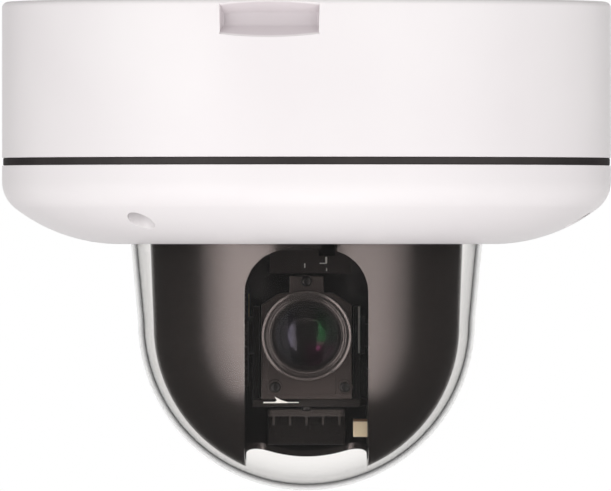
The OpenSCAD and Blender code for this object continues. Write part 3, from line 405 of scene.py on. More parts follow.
RING = Finish("ring_black", (0.011, 0.009, 0.008), (0.008, 0.0066, 0.006), 0.2, 0.03, ior=2.5, grain=4200,
              relief=0.0, gleam=WARM)
GLASS = ClearFinish("coated_glass", (0.93, 0.95, 0.96), 1.2)
# Painted reflections: the coloured gleams of the second element are placed by position in its colour.
PAINTED_REFLECTION = PaintedReflectionFinish("coated_element_painted_reflections", (0.075, 0.066, 0.09), (0.05, 0.043, 0.04), 0.16, 0.03, metal=0.9,
                        relief=0.0)
# Painted glint: a near-white matte colour that stands for the glints of the small strips and clips.
PAINTED_GLINT = Finish("painted_glint_white", (0.95, 0.92, 0.88), (0.88, 0.85, 0.81), 0.35, mottle=300)
STEEL = Finish("zinc_steel", (0.56, 0.565, 0.58), (0.44, 0.445, 0.46), 0.32, metal=1.0, mottle=240,
               grain=2400)
DARK_STEEL = Finish("screw_black", (0.075, 0.07, 0.068), (0.05, 0.047, 0.046), 0.36, metal=1.0, mottle=500)
POLISHED = Finish("polished_steel", (0.7, 0.705, 0.715), (0.6, 0.605, 0.615), 0.14, 0.04, metal=1.0,
                  grain=3000, stretch=(1, 1, 12))
ALUMINIUM = Finish("satin_aluminium", (0.58, 0.585, 0.6), (0.5, 0.505, 0.52), 0.4, metal=1.0, grain=1600,
                   stretch=(10, 1, 1))
BRASS = Finish("turned_brass", (0.66, 0.48, 0.2), (0.52, 0.36, 0.14), 0.3, metal=1.0, mottle=160)
NATURAL = Finish("natural_nylon", (0.66, 0.64, 0.57), (0.58, 0.56, 0.49), 0.48, grain=1400)
BOARD = BoardFinish("solder_mask", (0.016, 0.07, 0.036), (0.009, 0.042, 0.021), 0.35, coat=0.3)
DARK_BOARD = BoardFinish("black_mask", (0.014, 0.012, 0.011), (0.009, 0.008, 0.0075), 0.35,
                         pad_colour=(0.1, 0.08, 0.05))
TERMINAL = Finish("terminal_green", (0.035, 0.24, 0.09), (0.026, 0.19, 0.07), 0.45)
# Painted light: the cream is lifted above the cable socket's same nylon to make up for the dim light in the
# slot; the top is darker brown.
CREAM = BandedFinish("connector_cream", (0.16, 0.085, 0.045), (0.93, 0.77, 0.53), 0.42, grain=4000, axis="Z",
                     ends=(-0.1102, -0.1099))
SOCKET = Finish("socket_cream", (0.78, 0.66, 0.45), (0.72, 0.59, 0.38), 0.42, mottle=300, grain=4000)
CERAMIC = Finish("sensor_ceramic", (0.07, 0.05, 0.09), (0.05, 0.035, 0.065), 0.18, coat=0.6)
SLEEVE = Finish("can_sleeve", (0.045, 0.05, 0.075), (0.032, 0.036, 0.055), 0.35, mottle=120)


class Outline:
    """A wire in the upright plane, drawn corner by corner, ready to be spun or pushed out."""

    def __init__(self, start: Point) -> None:
        """Puts down the first corner, across and up, in millimetres."""
        self.bm = bmesh.new()
        self.first = self.last = self.bm.verts.new((start[0], 0, start[1]))

    def line(self, *corners: Point) -> "Outline":
        """Draws straight lines to further corners.

        Args:
            *corners: The corners in order.

        Returns:
            The outline itself.
        """
        for across, up in corners:
            corner = self.bm.verts.new((across, 0, up))
            self.bm.edges.new((self.last, corner))
            self.last = corner
        return self

    def arc(self, centre: Point, degrees: float, steps: int) -> "Outline":
        """Carries the last corner round a centre.

        Args:
            centre: Centre of the arc.
            degrees: Turn, counter-clockwise.
            steps: Edges along the arc.

        Returns:
            The outline itself.
        """
        swept = bmesh.ops.spin(self.bm, geom=[self.last], cent=(centre[0], 0, centre[1]), axis=(0, -1, 0),
                               angle=math.radians(degrees), steps=steps)
        self.last = next(v for v in swept["geom_last"] if isinstance(v, bmesh.types.BMVert))
        return self

    def close(self) -> "Outline":
        """Joins the last corner to the first."""
        self.bm.edges.new((self.last, self.first))
        return self


class Form:
    """A shape in the making, in millimetres."""

    def __init__(self, bm: bmesh.types.BMesh) -> None:
        """Takes over a bmesh."""
        self.bm = bm

    @classmethod
    def spun(cls, outline: Outline, steps: int) -> "Form":
        """Spins a half section, whose corners are radius and height, about the pan axis.

        Args:
            outline: The half section.
            steps: Steps of the full turn.

        Returns:
            The round form.
        """
        bm = outline.bm
        bmesh.ops.spin(bm, geom=bm.verts[:] + bm.edges[:], cent=(0, 0, 0), axis=(0, 0, 1), angle=FULL_TURN,
                       steps=steps, use_merge=True)
        bmesh.ops.remove_doubles(bm, verts=bm.verts[:], dist=DOUBLES)
        return cls(bm).face_out()

    @classmethod
    def pushed(cls, outline: Outline, start: float, depth: float) -> "Form":
        """Pushes a closed front outline along Y.

        Args:
            outline: Outline, across and up.
            start: Y of the front face.
            depth: Length along Y.

        Returns:
            The prism.
        """
        bm = outline.bm
        face = bmesh.ops.contextual_create(bm, geom=bm.edges[:])["faces"]
        far = bmesh.ops.extrude_face_region(bm, geom=face)["geom"]
        corners = [v for v in far if isinstance(v, bmesh.types.BMVert)]
        bmesh.ops.translate(bm, verts=corners, vec=(0, depth, 0))
        return cls(bm).face_out().move((0, start, 0))

    @classmethod
    def box(cls, low: Place, high: Place) -> "Form":
        """Makes a block between two corners."""
        bm = bmesh.new()
        size = Vector(high) - Vector(low)
        place = Matrix.Translation((Vector(low) + Vector(high)) / 2) @ Matrix.Diagonal((*size, 1))
        bmesh.ops.create_cube(bm, size=1, matrix=place)
        return cls(bm)

    @classmethod
    def rod(cls, start: Place, end: Place, radius: float, end_radius: float | None = None,
            steps: int = 48) -> "Form":
        """Makes a round bar or cone between two points.

        Args:
            start: Centre of the first end.
            end: Centre of the last end.
            radius: Radius at the start.
            end_radius: Radius at the end, if it differs.
            steps: Sides of the bar.

        Returns:
            The bar.
        """
        bm = bmesh.new()
        run = Vector(end) - Vector(start)
        middle = Matrix.Translation((Vector(start) + Vector(end)) / 2)
        bmesh.ops.create_cone(bm, cap_ends=True, segments=steps, radius1=radius, depth=run.length,
                              radius2=radius if end_radius is None else end_radius,
                              matrix=middle @ run.to_track_quat("Z", "Y").to_matrix().to_4x4())
        return cls(bm)

    @classmethod
    def posts(cls, spots: Iterable[Point], start: float, end: float, *radii: float,
              steps: int = 48) -> list["Form"]:
        """Makes an upright bar or cone, from one height to another, at each spot."""
        return [cls.rod((x, y, start), (x, y, end), *radii, steps=steps) for x, y in spots]

    @classmethod
    def bores(cls, spots: Iterable[Point], start: float, end: float, *radii: float,
              steps: int = 24) -> list["Form"]:
        """Makes a bar or cone along Y, from one depth to another, at each spot across and up."""
        return [cls.rod((x, start, z), (x, end, z), *radii, steps=steps) for x, z in spots]

    def face_out(self) -> "Form":
        """Turns every face outwards."""
        bmesh.ops.recalc_face_normals(self.bm, faces=self.bm.faces[:])
        return self

    def shift(self, matrix: Matrix) -> "Form":
        """Moves or turns the form."""
        bmesh.ops.transform(self.bm, matrix=matrix, verts=self.bm.verts[:])
        return self

    def move(self, step: Place) -> "Form":
        """Moves the form."""
        return self.shift(Matrix.Translation(step))

    def soften(self, width: float, segments: int = 3, sharp: float = 35.0,
               pick: Callable[[Vector], bool] | None = None) -> "Form":
        """Rounds the sharp edges.

        Args:
            width: Width of the rounding.
            segments: Faces across it.
            sharp: Least angle of an edge, in degrees.
            pick: Test on an edge's middle that says which edges take part.

        Returns:
            The form itself.
        """
        edges = [e for e in self.bm.edges
                 if len(e.link_faces) == 2 and e.calc_face_angle() > math.radians(sharp)
                 and (pick is None or pick((e.verts[0].co + e.verts[1].co) / 2))]
        bmesh.ops.bevel(self.bm, geom=edges, offset=width, offset_type="OFFSET", affect="EDGES",
                        segments=segments, profile=0.5, material=-1, clamp_overlap=True)
        return self

    def carve(self, how: Carve, tools: Iterable["Form"]) -> "Form":
        """Cuts, joins or keeps what other forms share with this one.

        Args:
            how: What the others do.
            tools: The other forms, used up by this.

        Returns:
            The form itself.
        """
        host = self.loose("host")
        helpers = [tool.loose("tool") for tool in tools]
        for helper in helpers:
            step = host.modifiers.new("carve", "BOOLEAN")
            step.operation, step.solver, step.object = how.value, "EXACT", helper
        mesh = bpy.data.meshes.new_from_object(host.evaluated_get(bpy.context.evaluated_depsgraph_get()))
        self.bm = bmesh.new()
        self.bm.from_mesh(mesh)
        bmesh.ops.remove_doubles(self.bm, verts=self.bm.verts[:], dist=DOUBLES)
        bmesh.ops.dissolve_degenerate(self.bm, edges=self.bm.edges[:], dist=DOUBLES)
        bpy.data.meshes.remove(mesh)
        for helper in (host, *helpers):
            bpy.data.meshes.remove(helper.data)
        return self

    def merge(self, others: Iterable["Form"]) -> "Form":
        """Puts other forms into the same mesh, each left as it is.

        Args:
            others: The other forms, used up by this.

        Returns:
            The form itself.
        """
        for other in others:
            mesh = bpy.data.meshes.new("part")
            other.bm.to_mesh(mesh)
            other.bm.free()
            self.bm.from_mesh(mesh)
            bpy.data.meshes.remove(mesh)
        return self

    def loose(self, name: str) -> bpy.types.Object:
        """Gives the form as an object in the scene and ends the bmesh.

        Args:
            name: Name of the object.

        Returns:
            The object.
        """
        mesh = bpy.data.meshes.new(name)
        self.bm.to_mesh(mesh)
        self.bm.free()
        made = bpy.data.objects.new(name, mesh)
        bpy.context.scene.collection.objects.link(made)
        return made


class Assembly:
    """Base of the sub-assemblies: turns forms into dressed pieces."""

    body: Body = Body.BASE

    def place(self, form: Form, name: str, finish: Finish | ClearFinish, slot: Slot,
              nodes: Sequence[str] = (), sharp: float = 40.0) -> None:
        """Makes a form into a finished piece.

        Args:
            form: The form, used up by this.
            name: Name of the piece.
            finish: Its finish.
            slot: The record's material slot; not used.
            nodes: CAD nodes that it stands for.
            sharp: Edges above this angle keep a crease, in degrees.
        """
        piece = form.shift(Matrix.Diagonal((MM, MM, MM, 1))).loose(name)
        for face in piece.data.polygons:
            face.use_smooth = True
        piece.data.set_sharp_from_angle(angle=math.radians(sharp))
        piece.modifiers.new("even_shading", "WEIGHTED_NORMAL").keep_sharp = True
        piece.data.materials.append(finish.material())
        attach(piece, self.body.value)
        if nodes:
            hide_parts(*nodes)
        LOG.info("%s: %d faces, on %s", name, len(piece.data.polygons), self.body.value)


@dataclass
class ShellUnit(Assembly):
    """Sizes that the white base and its cover share."""

    radius: float = 79.99
    wall: float = 3.0
    rim: float = -41.0
    sides: int = 160
    screw_circle: float = 71.3
    screw_dir: float = 233.0
    screws: int = 3
    boss_r: float = 5.2
    hole_r: float = 2.1
    body: Body = Body.BASE

    def screw_spots(self) -> list[Point]:
        """Gives the places of the cover screws."""
        return circle_spots(self.screw_circle, self.screw_dir, self.screws)


@dataclass
class BaseUnit(ShellUnit):
    """White base against the ceiling, with the seal below its rim."""

    plate: float = 3.0
    chamfer: float = 1.0
    root: float = -1.5
    deep: float = -60.0
    inset: float = 0.8
    pocket_inset: float = 1.2
    entry_r: float = 11.0
    mount_circle: float = 66.0
    mount_hole_r: float = 2.25
    mount_edge: float = 0.4
    notch_dir: float = 263.0
    notch_half: float = 13.4
    notch_side: float = 12.4
    notch_depth: float = 4.0
    notch_levels: tuple[float, ...] = (-0.3, -3.7, -7.0, -10.1)
    notch_floor: float = -12.4
    screw_depth: float = 12.0
    post_circle: float = 50.0
    post_r: float = 3.6
    post_low: float = -9.0
    post_hole_r: float = 1.6
    post_hole_top: float = -4.6
    seal_in: float = 77.2
    seal_out: float = 79.7
    seal_t: float = 2.0

    def shell(self) -> Form:
        """Spins the plain cup of the base."""
        inner = self.radius - self.wall
        cup = Form.spun(Outline((self.entry_r, 0)).line(
            (self.radius - self.chamfer, 0), (self.radius, -self.chamfer), (self.radius, self.rim),
            (inner, self.rim), (inner, -self.plate), (self.entry_r, -self.plate)).close(), self.sides)
        cup.soften(0.5, 3, 30, lambda m: m.z > self.root and m.to_2d().length > self.mount_circle)
        return cup.soften(0.25, 2, 60)

    def notch(self) -> Form:
        """Makes the cutter of the cable notch, with drafted sides."""
        back, beyond = self.radius - self.notch_depth, self.radius + 2
        top, high, low, foot = self.notch_levels
        cutter = Form.pushed(Outline((beyond, top)).line(
            (self.radius, top), (back, high), (back, low), (self.radius, foot), (beyond, foot)).close(),
            -self.notch_half, 2 * self.notch_half)
        inner = [v for v in cutter.bm.verts if v.co.x < back + 1]
        bmesh.ops.scale(cutter.bm, vec=(1, self.notch_side / self.notch_half, 1), verts=inner)
        return cutter.soften(0.5, 3, 20, lambda m: m.x < back + 1)

    def build(self) -> None:
        """Builds the base and its seal."""
        turn = Matrix.Rotation(math.radians(self.notch_dir), 4, "Z")
        side = self.notch_half + self.wall
        pocket = Form.box((self.radius - self.notch_depth - self.wall, -side, self.notch_floor),
                          (self.radius - self.pocket_inset, side, self.root)).shift(turn)
        screws, posts = self.screw_spots(), quarter_spots(self.post_circle)
        mounts, hole = quarter_spots(self.mount_circle, self.notch_dir), self.mount_hole_r
        joins = Form.posts(screws, self.root, self.rim, self.boss_r)
        joins += Form.posts(posts, self.root, self.post_low, self.post_r)
        cuts = [self.notch().shift(turn)]
        cuts += Form.posts(screws, self.rim - 1, self.rim + self.screw_depth, self.hole_r)
        cuts += Form.posts(posts, self.post_low - 1, self.post_hole_top, self.post_hole_r)
        cuts += Form.posts(mounts, 1, -self.plate - 1, hole)
        cuts += Form.posts(mounts, 0.01, -self.mount_edge, hole + self.mount_edge, hole)
        skin = self.radius - self.inset
        inside = Form.spun(Outline((0, 1)).line((skin, 1), (skin, self.deep), (0, self.deep)), self.sides)
        blocks = pocket.carve(Carve.JOIN, joins).carve(Carve.KEEP, [inside])
        base = self.shell().carve(Carve.JOIN, [blocks]).carve(Carve.CUT, cuts)
        mouth = Vector(circle_spots(self.radius, self.notch_dir, 1)[0])
        base.soften(0.3, 2, 30, lambda m: (m.to_2d() - mouth).length < self.notch_half + 2.6
                    and self.notch_levels[-1] - 0.5 < m.z < self.notch_levels[0] - 0.4
                    and m.to_2d().length > self.radius - 0.1)
        self.place(base, "white_base", PAINT, Slot.PAINT, ["base_housing"])
        low = self.rim - self.seal_t
        seal = Form.spun(Outline((self.seal_in, self.rim)).line(
            (self.seal_out, self.rim), (self.seal_out, low), (self.seal_in, low)).close(), self.sides)
        self.place(seal.soften(0.35, 3, 60), "seal_line", RUBBER, Slot.RUBBER, ["housing_gasket"])


@dataclass
class CoverUnit(ShellUnit):
    """White lower cover with its counterbores and screws."""

    top: float = -43.0
    floor: float = -63.6
    opening: float = 46.6
    shelf: float = -60.6
    shelf_r: float = 52.8
    flat_r: float = 49.0
    belly_r: float = 45.02
    belly_turn: float = 37.7
    corner: Point = (70.97, -47.1)
    boss_low: float = -63.0
    below: float = -66.0
    bore_r: float = 3.6
    seat: float = -50.0
    head_h: float = 2.6
    crown: tuple[Point, ...] = ((1.9, 0.0), (2.9, 0.35), (3.3, 1.1), (3.3, 2.6))
    shank_r: float = 2.0
    shank: float = 20.0
    tip: float = 0.4
    socket_r: float = 1.65
    socket_depth: float = 1.5
    clamp_circle: float = 56.25
    clamp_r: float = 3.2
    clamp_hole_r: float = 1.6

    def section(self) -> Outline:
        """Draws the half section of the cover."""
        belly, inner = (self.flat_r, self.floor + self.belly_r), self.radius - self.wall
        inner_turn = math.degrees(math.asin((self.shelf_r - self.flat_r) / (self.belly_r - self.wall)))
        return (Outline((self.opening, self.floor)).line((self.flat_r, self.floor))
                .arc(belly, self.belly_turn, 20).arc(self.corner, 90 - self.belly_turn, 14)
                .line((self.radius, self.top), (inner, self.top), (inner, self.corner[1]))
                .arc(self.corner, self.belly_turn - 90, 10).arc(belly, inner_turn - self.belly_turn, 14)
                .line((self.shelf_r, self.shelf), (self.opening, self.shelf)).close())

    def core(self) -> Form:
        """Spins the space that the screw bosses may fill, half a wall inside the skin."""
        belly, inset = (self.flat_r, self.floor + self.belly_r), self.wall / 2
        return Form.spun(Outline((0, self.floor + inset)).line((self.flat_r, self.floor + inset))
                         .arc(belly, self.belly_turn, 12).arc(self.corner, 90 - self.belly_turn, 8)
                         .line((self.radius - inset, self.rim), (0, self.rim)), 96)

    def screw(self, spot: Point) -> Form:
        """Makes one button-head screw with a hexagon socket.

        Args:
            spot: Place of its axis.

        Returns:
            The screw.
        """
        low, end = self.seat - self.head_h, self.seat + self.shank
        head = [(radius, low + height) for radius, height in self.crown]
        screw = Form.spun(Outline((0, low)).line(
            *head, (self.shank_r, self.seat), (self.shank_r, end - self.tip), (self.shank_r - self.tip, end),
            (0, end)), 48)
        socket = Form.rod((0, 0, low - 1), (0, 0, low + self.socket_depth), self.socket_r, steps=6)
        return screw.carve(Carve.CUT, [socket]).soften(0.12, 2, 40).move((*spot, 0))

    def build(self) -> None:
        """Builds the cover and its screws."""
        cover = Form.spun(self.section(), self.sides).soften(0.3, 3, 50)
        spots, clamps = self.screw_spots(), quarter_spots(self.clamp_circle)
        bosses = Form.posts(spots, self.rim, self.boss_low, self.boss_r)
        bosses += Form.posts(clamps, self.shelf + 3, self.shelf - 0.9, self.clamp_r)
        cuts = Form.posts(spots, self.below, self.seat, self.bore_r, steps=64)
        cuts += Form.posts(spots, self.below, self.rim + 1, self.hole_r)
        cuts += Form.posts(clamps, self.shelf + 3.6, self.shelf - 1.6, self.clamp_hole_r)
        solid = bosses[0].carve(Carve.JOIN, bosses[1:]).carve(Carve.KEEP, [self.core()])
        cover.carve(Carve.JOIN, [solid]).carve(Carve.CUT, cuts)
        mouths = [Vector(spot) for spot in spots]
        cover.soften(0.35, 3, 30, lambda m: m.z < self.seat - 2 and any(
            abs((m.to_2d() - mouth).length - self.bore_r) < 0.05 for mouth in mouths))
        self.place(cover, "white_cover", PAINT, Slot.PAINT, ["dome_cover"])
        first, *others = [self.screw(spot) for spot in spots]
        self.place(first.merge(others), "cover_screw_set", STEEL, Slot.STEEL, ["cover_screws"])


@dataclass
class DomeUnit(Assembly):
    """Clear dome with its clamped flange."""

    inner_r: float = 42.6
    wall: float = 1.7
    centre: float = -83.99
    mouth_r: float = 44.5
    mouth_z: float = -63.6
    flange_low: float = -59.6
    flange_top: float = -57.6
    flange_r: float = 52.5
    blend_w: float = 4.0
    sides: int = 192
    arc_steps: int = 48
    body: Body = Body.BASE

    def build(self) -> None:
        """Builds the dome."""
        outer, out_mouth = self.inner_r + self.wall, self.mouth_r + self.wall
        pole = (0, self.centre)
        dome = Form.spun(Outline((0, self.centre - outer)).arc(pole, 90, self.arc_steps).line(
            (out_mouth, self.mouth_z), (out_mouth, self.flange_low), (self.flange_r, self.flange_low),
            (self.flange_r, self.flange_top), (self.mouth_r, self.flange_top), (self.mouth_r, self.mouth_z),
            (self.inner_r, self.centre)).arc(pole, -90, self.arc_steps), self.sides)
        dome.soften(self.blend_w, 6, 3, lambda m: abs(m.z - self.centre) < 0.01 and m.to_2d().length > 40)
        self.place(dome, "dome_shell", DOME, Slot.DOME, ["dome_bubble"], 60)


@dataclass
class LinerUnit(Assembly):
    """Black liner that turns with the camera, with its arched slot."""

    radius: float = 40.2
    wall: float = 1.5
    centre: float = -85.1
    top_r: float = 41.0
    neck_z: float = -63.6
    top: float = -50.5
    flange_in: float = 31.0
    sides: int = 160
    arc_steps: int = 40
    slot_half: float = 16.0
    arch_top: float = -65.0
    arch_r: float = 11.3
    slot_back: float = 19.8
    slot_back_r: float = 6.0
    cut_low: float = -160.0
    cut_front: float = -90.0
    cut_play: float = 0.02
    plan_cut: Point = (40.0, 130.0)
    relief: Block = ((3.8, -60.0, -67.0), (7.8, -30.0, -60.4))
    peg_circle: float = 34.5
    peg_ends: Point = (-51.2, -48.0)
    peg_radii: Point = (1.5, 1.4)
    body: Body = Body.HEAD

    def slot(self) -> Form:
        """Makes the cutter of the slot: an arch from the front, with rounded rear corners."""
        half, spring, inner = self.slot_half, self.arch_top - self.arch_r, self.slot_half - self.arch_r
        low, front = self.cut_low, self.cut_front
        cutter = Form.pushed(Outline((-half, low)).line((half, low), (half, spring))
                             .arc((inner, spring), 90, 20).line((-inner, self.arch_top))
                             .arc((-inner, spring), 90, 20).close(), front, self.slot_back - front)
        rear, side = self.slot_back - self.slot_back_r, half + self.cut_play
        turn, ahead = side - self.slot_back_r, front - 5
        plan = Form.pushed(Outline((-side, ahead)).line((side, ahead), (side, rear)).arc((turn, rear), 90, 12)
                           .line((-turn, self.slot_back)).arc((-turn, rear), 90, 12).close(), *self.plan_cut)
        return cutter.carve(Carve.KEEP, [plan.shift(Matrix.Rotation(-math.pi / 2, 4, "X"))])

    def build(self) -> None:
        """Builds the liner."""
        edge, edge_in = self.top_r, self.top_r - self.wall
        under, pole = self.top - self.wall, (0, self.centre)
        liner = Form.spun(Outline((0, self.centre - self.radius)).arc(pole, 90, self.arc_steps).line(
            (edge, self.neck_z), (edge, self.top), (self.flange_in, self.top), (self.flange_in, under),
            (edge_in, under), (edge_in, self.neck_z), (self.radius - self.wall, self.centre))
            .arc(pole, -90, self.arc_steps), self.sides)
        liner.carve(Carve.CUT, [self.slot(), Form.box(*self.relief)]).soften(0.3, 3, 40)
        pegs = Form.posts(quarter_spots(self.peg_circle), *self.peg_ends, *self.peg_radii)
        liner.merge(peg.soften(0.2, 2, 40) for peg in pegs)
        self.place(liner, "slotted_liner", LINER, Slot.LINER, ["inner_liner"])


@dataclass
class LensUnit(Assembly):
    """Front of the camera block: plate, ring, glass and the block's screws."""

    half: float = 11.8
    low: float = -104.0
    shoulder: float = -79.5
    top: float = -76.4
    top_half: float = 7.0
    tab_half: float = 4.5
    tab_top: float = -71.9
    front: float = -28.0
    plate: float = 2.0
    behind: float = -20.0
    boss_h: float = 0.35
    boss_radii: Point = (2.0, 2.15)
    pad_h: float = 0.25
    pads: tuple[tuple[Point, Point], ...] = (((-7.2, -102.8), (7.6, -97.0)), ((-11.2, -99.0), (-9.9, -85.0)))
    barrel_r: float = 9.4
    barrel_bore: float = 7.85
    barrel_rear: float = -24.0
    ring_r: float = 11.8
    ring_front: float = -31.0
    ring_steps: tuple[Place, ...] = ((11.05, 0.5, 0.5), (10.2, 0.9, 0.14), (9.6, 1.8, 0.2))
    lip_r: float = 0.2
    glass_r: float = 9.05
    front_curve: float = 22.0
    front_cap: float = 8.55
    rear_curve: float = 60.0
    rear_cap: float = 7.55
    element_r: float = 6.8
    element_rim: float = 7.8
    element_t: float = 1.0
    element_curve: float = 10.5
    element_apex: float = -25.3
    sides: int = 128
    head_h: float = 1.2
    crown: tuple[Point, ...] = ((0.75, -1.2), (1.2, -1.0), (1.4, -0.6), (1.4, 0.0))
    shank_r: float = 0.8
    shank: float = 6.5
    cross: Point = (0.8, 0.17)
    cross_ends: Point = (-2.0, -0.5)
    hole_r: float = 0.9
    journal: float = 1.25
    journal_r: float = 0.66
    rear: float = 23.0
    foot: float = -106.0
    body: Body = Body.CAMERA
    leads: tuple[Point, ...] = ((-5.5, -98.5), (5.5, -98.5))
    front_screws: tuple[Point, ...] = ((0.0, -73.3), (-8.1, -100.9), (9.9, -100.9))
    rear_screws: tuple[Point, ...] = ((-6.0, -78.5), (6.0, -78.5), (-9.9, -102.1), (9.9, -102.1))
    foot_screws: tuple[float, ...] = (-22.0, 12.0)

    def front_plate(self) -> Form:
        """Makes the dark front plate with its tab, screw bosses and stiffening pads."""
        right = ((self.half, self.low), (self.half, self.shoulder), (self.top_half, self.top),
                 (self.tab_half, self.top), (self.tab_half, self.tab_top))
        left = [(-x, z) for x, z in right]
        plate = Form.pushed(Outline(left[0]).line(*right, *left[:0:-1]).close(), self.front, self.plate)
        plate.soften(0.45, 3, 30)
        root = self.front + 0.5
        bosses = Form.bores(self.front_screws[1:], self.front - self.boss_h, root, *self.boss_radii, steps=48)
        raised = [boss.soften(0.25, 3, 40) for boss in bosses]
        raised += [Form.box((x, self.front - self.pad_h, z), (end_x, root, end_z)).soften(0.2)
                   for (x, z), (end_x, end_z) in self.pads]
        cuts = Form.bores([(0, TILT_Z)], self.front - 2, self.behind, self.barrel_r + 0.02, steps=96)
        cuts += Form.bores(self.front_screws, self.front - 2, self.behind, self.hole_r)
        cuts += Form.bores(self.leads, self.front + self.plate - self.journal, self.behind, self.journal_r)
        return plate.carve(Carve.JOIN, raised).carve(Carve.CUT, cuts)

    def ring(self) -> Form:
        """Spins the ring, whose steps each have a radius, a depth and a bevel, and the barrel behind it."""
        edge, bore, seat = self.ring_front + self.lip_r, self.glass_r + 0.02, self.front + self.plate
        outline = Outline((self.ring_r, self.front)).line((self.ring_r, edge))
        outline.arc((self.ring_r - self.lip_r, edge), -90, 8)
        for radius, depth, bevel in self.ring_steps:
            lip = outline.last.co.z
            outline.line((radius + bevel, lip), (radius, lip + bevel / 2), (radius, self.ring_front + depth))
        outline.line((bore, outline.last.co.z), (bore, seat), (self.barrel_bore, seat),
                     (self.barrel_bore, self.barrel_rear), (self.barrel_r, self.barrel_rear),
                     (self.barrel_r, self.front)).close()
        return Form.spun(outline, self.sides).shift(TO_LENS_AXIS).soften(0.06, 2, 40)

    def glass(self) -> Form:
        """Spins the front glass, a rim between two ground faces."""
        front_turn, front_h = ground_face(self.front_curve, self.front_cap)
        rear_turn, rear_h = ground_face(self.rear_curve, self.rear_cap)
        apex, rear = self.front - front_h, self.front + self.plate
        outline = Outline((0, apex)).arc((0, apex + self.front_curve), front_turn, 24)
        outline.line((self.glass_r, self.front), (self.glass_r, rear), (self.rear_cap, rear))
        outline.arc((0, rear + rear_h - self.rear_curve), rear_turn, 16)
        return Form.spun(outline, self.sides).shift(TO_LENS_AXIS)

    def element(self) -> Form:
        """Spins the domed second element behind the front glass."""
        turn, height = ground_face(self.element_curve, self.element_r)
        rim, back = self.element_apex + height, self.element_apex + height + self.element_t
        outline = Outline((0, self.element_apex)).arc((0, self.element_apex + self.element_curve), turn, 20)
        outline.line((self.element_rim, rim), (self.element_rim, back), (0, back))
        return Form.spun(outline, 96).shift(TO_LENS_AXIS)

    def screw(self, place: Place, turn: float) -> Form:
        """Makes a small cross-head screw.

        Args:
            place: Underside of its head.
            turn: Turn about X that brings +Z to the shank's direction, in degrees.

        Returns:
            The screw.
        """
        radius, end = self.shank_r, self.shank
        screw = Form.spun(Outline((0, -self.head_h)).line(
            *self.crown, (radius, 0), (radius, end - 0.3), (radius - 0.2, end), (0, end)), 32)
        low, high = self.cross_ends
        cross = [Form.box((-x, -y, low), (x, y, high)) for x, y in (self.cross, self.cross[::-1])]
        screw.carve(Carve.CUT, cross).soften(0.06, 2, 40)
        return screw.shift(Matrix.Translation(place) @ Matrix.Rotation(math.radians(turn), 4, "X"))

    def build(self) -> None:
        """Builds plate, ring, glass and screws."""
        self.place(self.front_plate(), "front_plate", GRAPHITE, Slot.GRAPHITE, ["lens_front_plate"])
        self.place(self.ring(), "stepped_ring", RING, Slot.GRAPHITE, ["lens_front_ring"], 15)
        self.place(self.glass(), "front_glass", GLASS, Slot.GLASS, ["front_lens"])
        self.place(self.element(), "second_element", PAINTED_REFLECTION, Slot.GLASS)
        first, *others = [self.screw((x, self.front, z), -90) for x, z in self.front_screws]
        others += [self.screw((x, self.rear, z), 90) for x, z in self.rear_screws]
        others += [self.screw((0, y, self.foot), 0) for y in self.foot_screws]
        self.place(first.merge(others), "block_screw_set", DARK_STEEL, Slot.STEEL, ["lens_screws"])


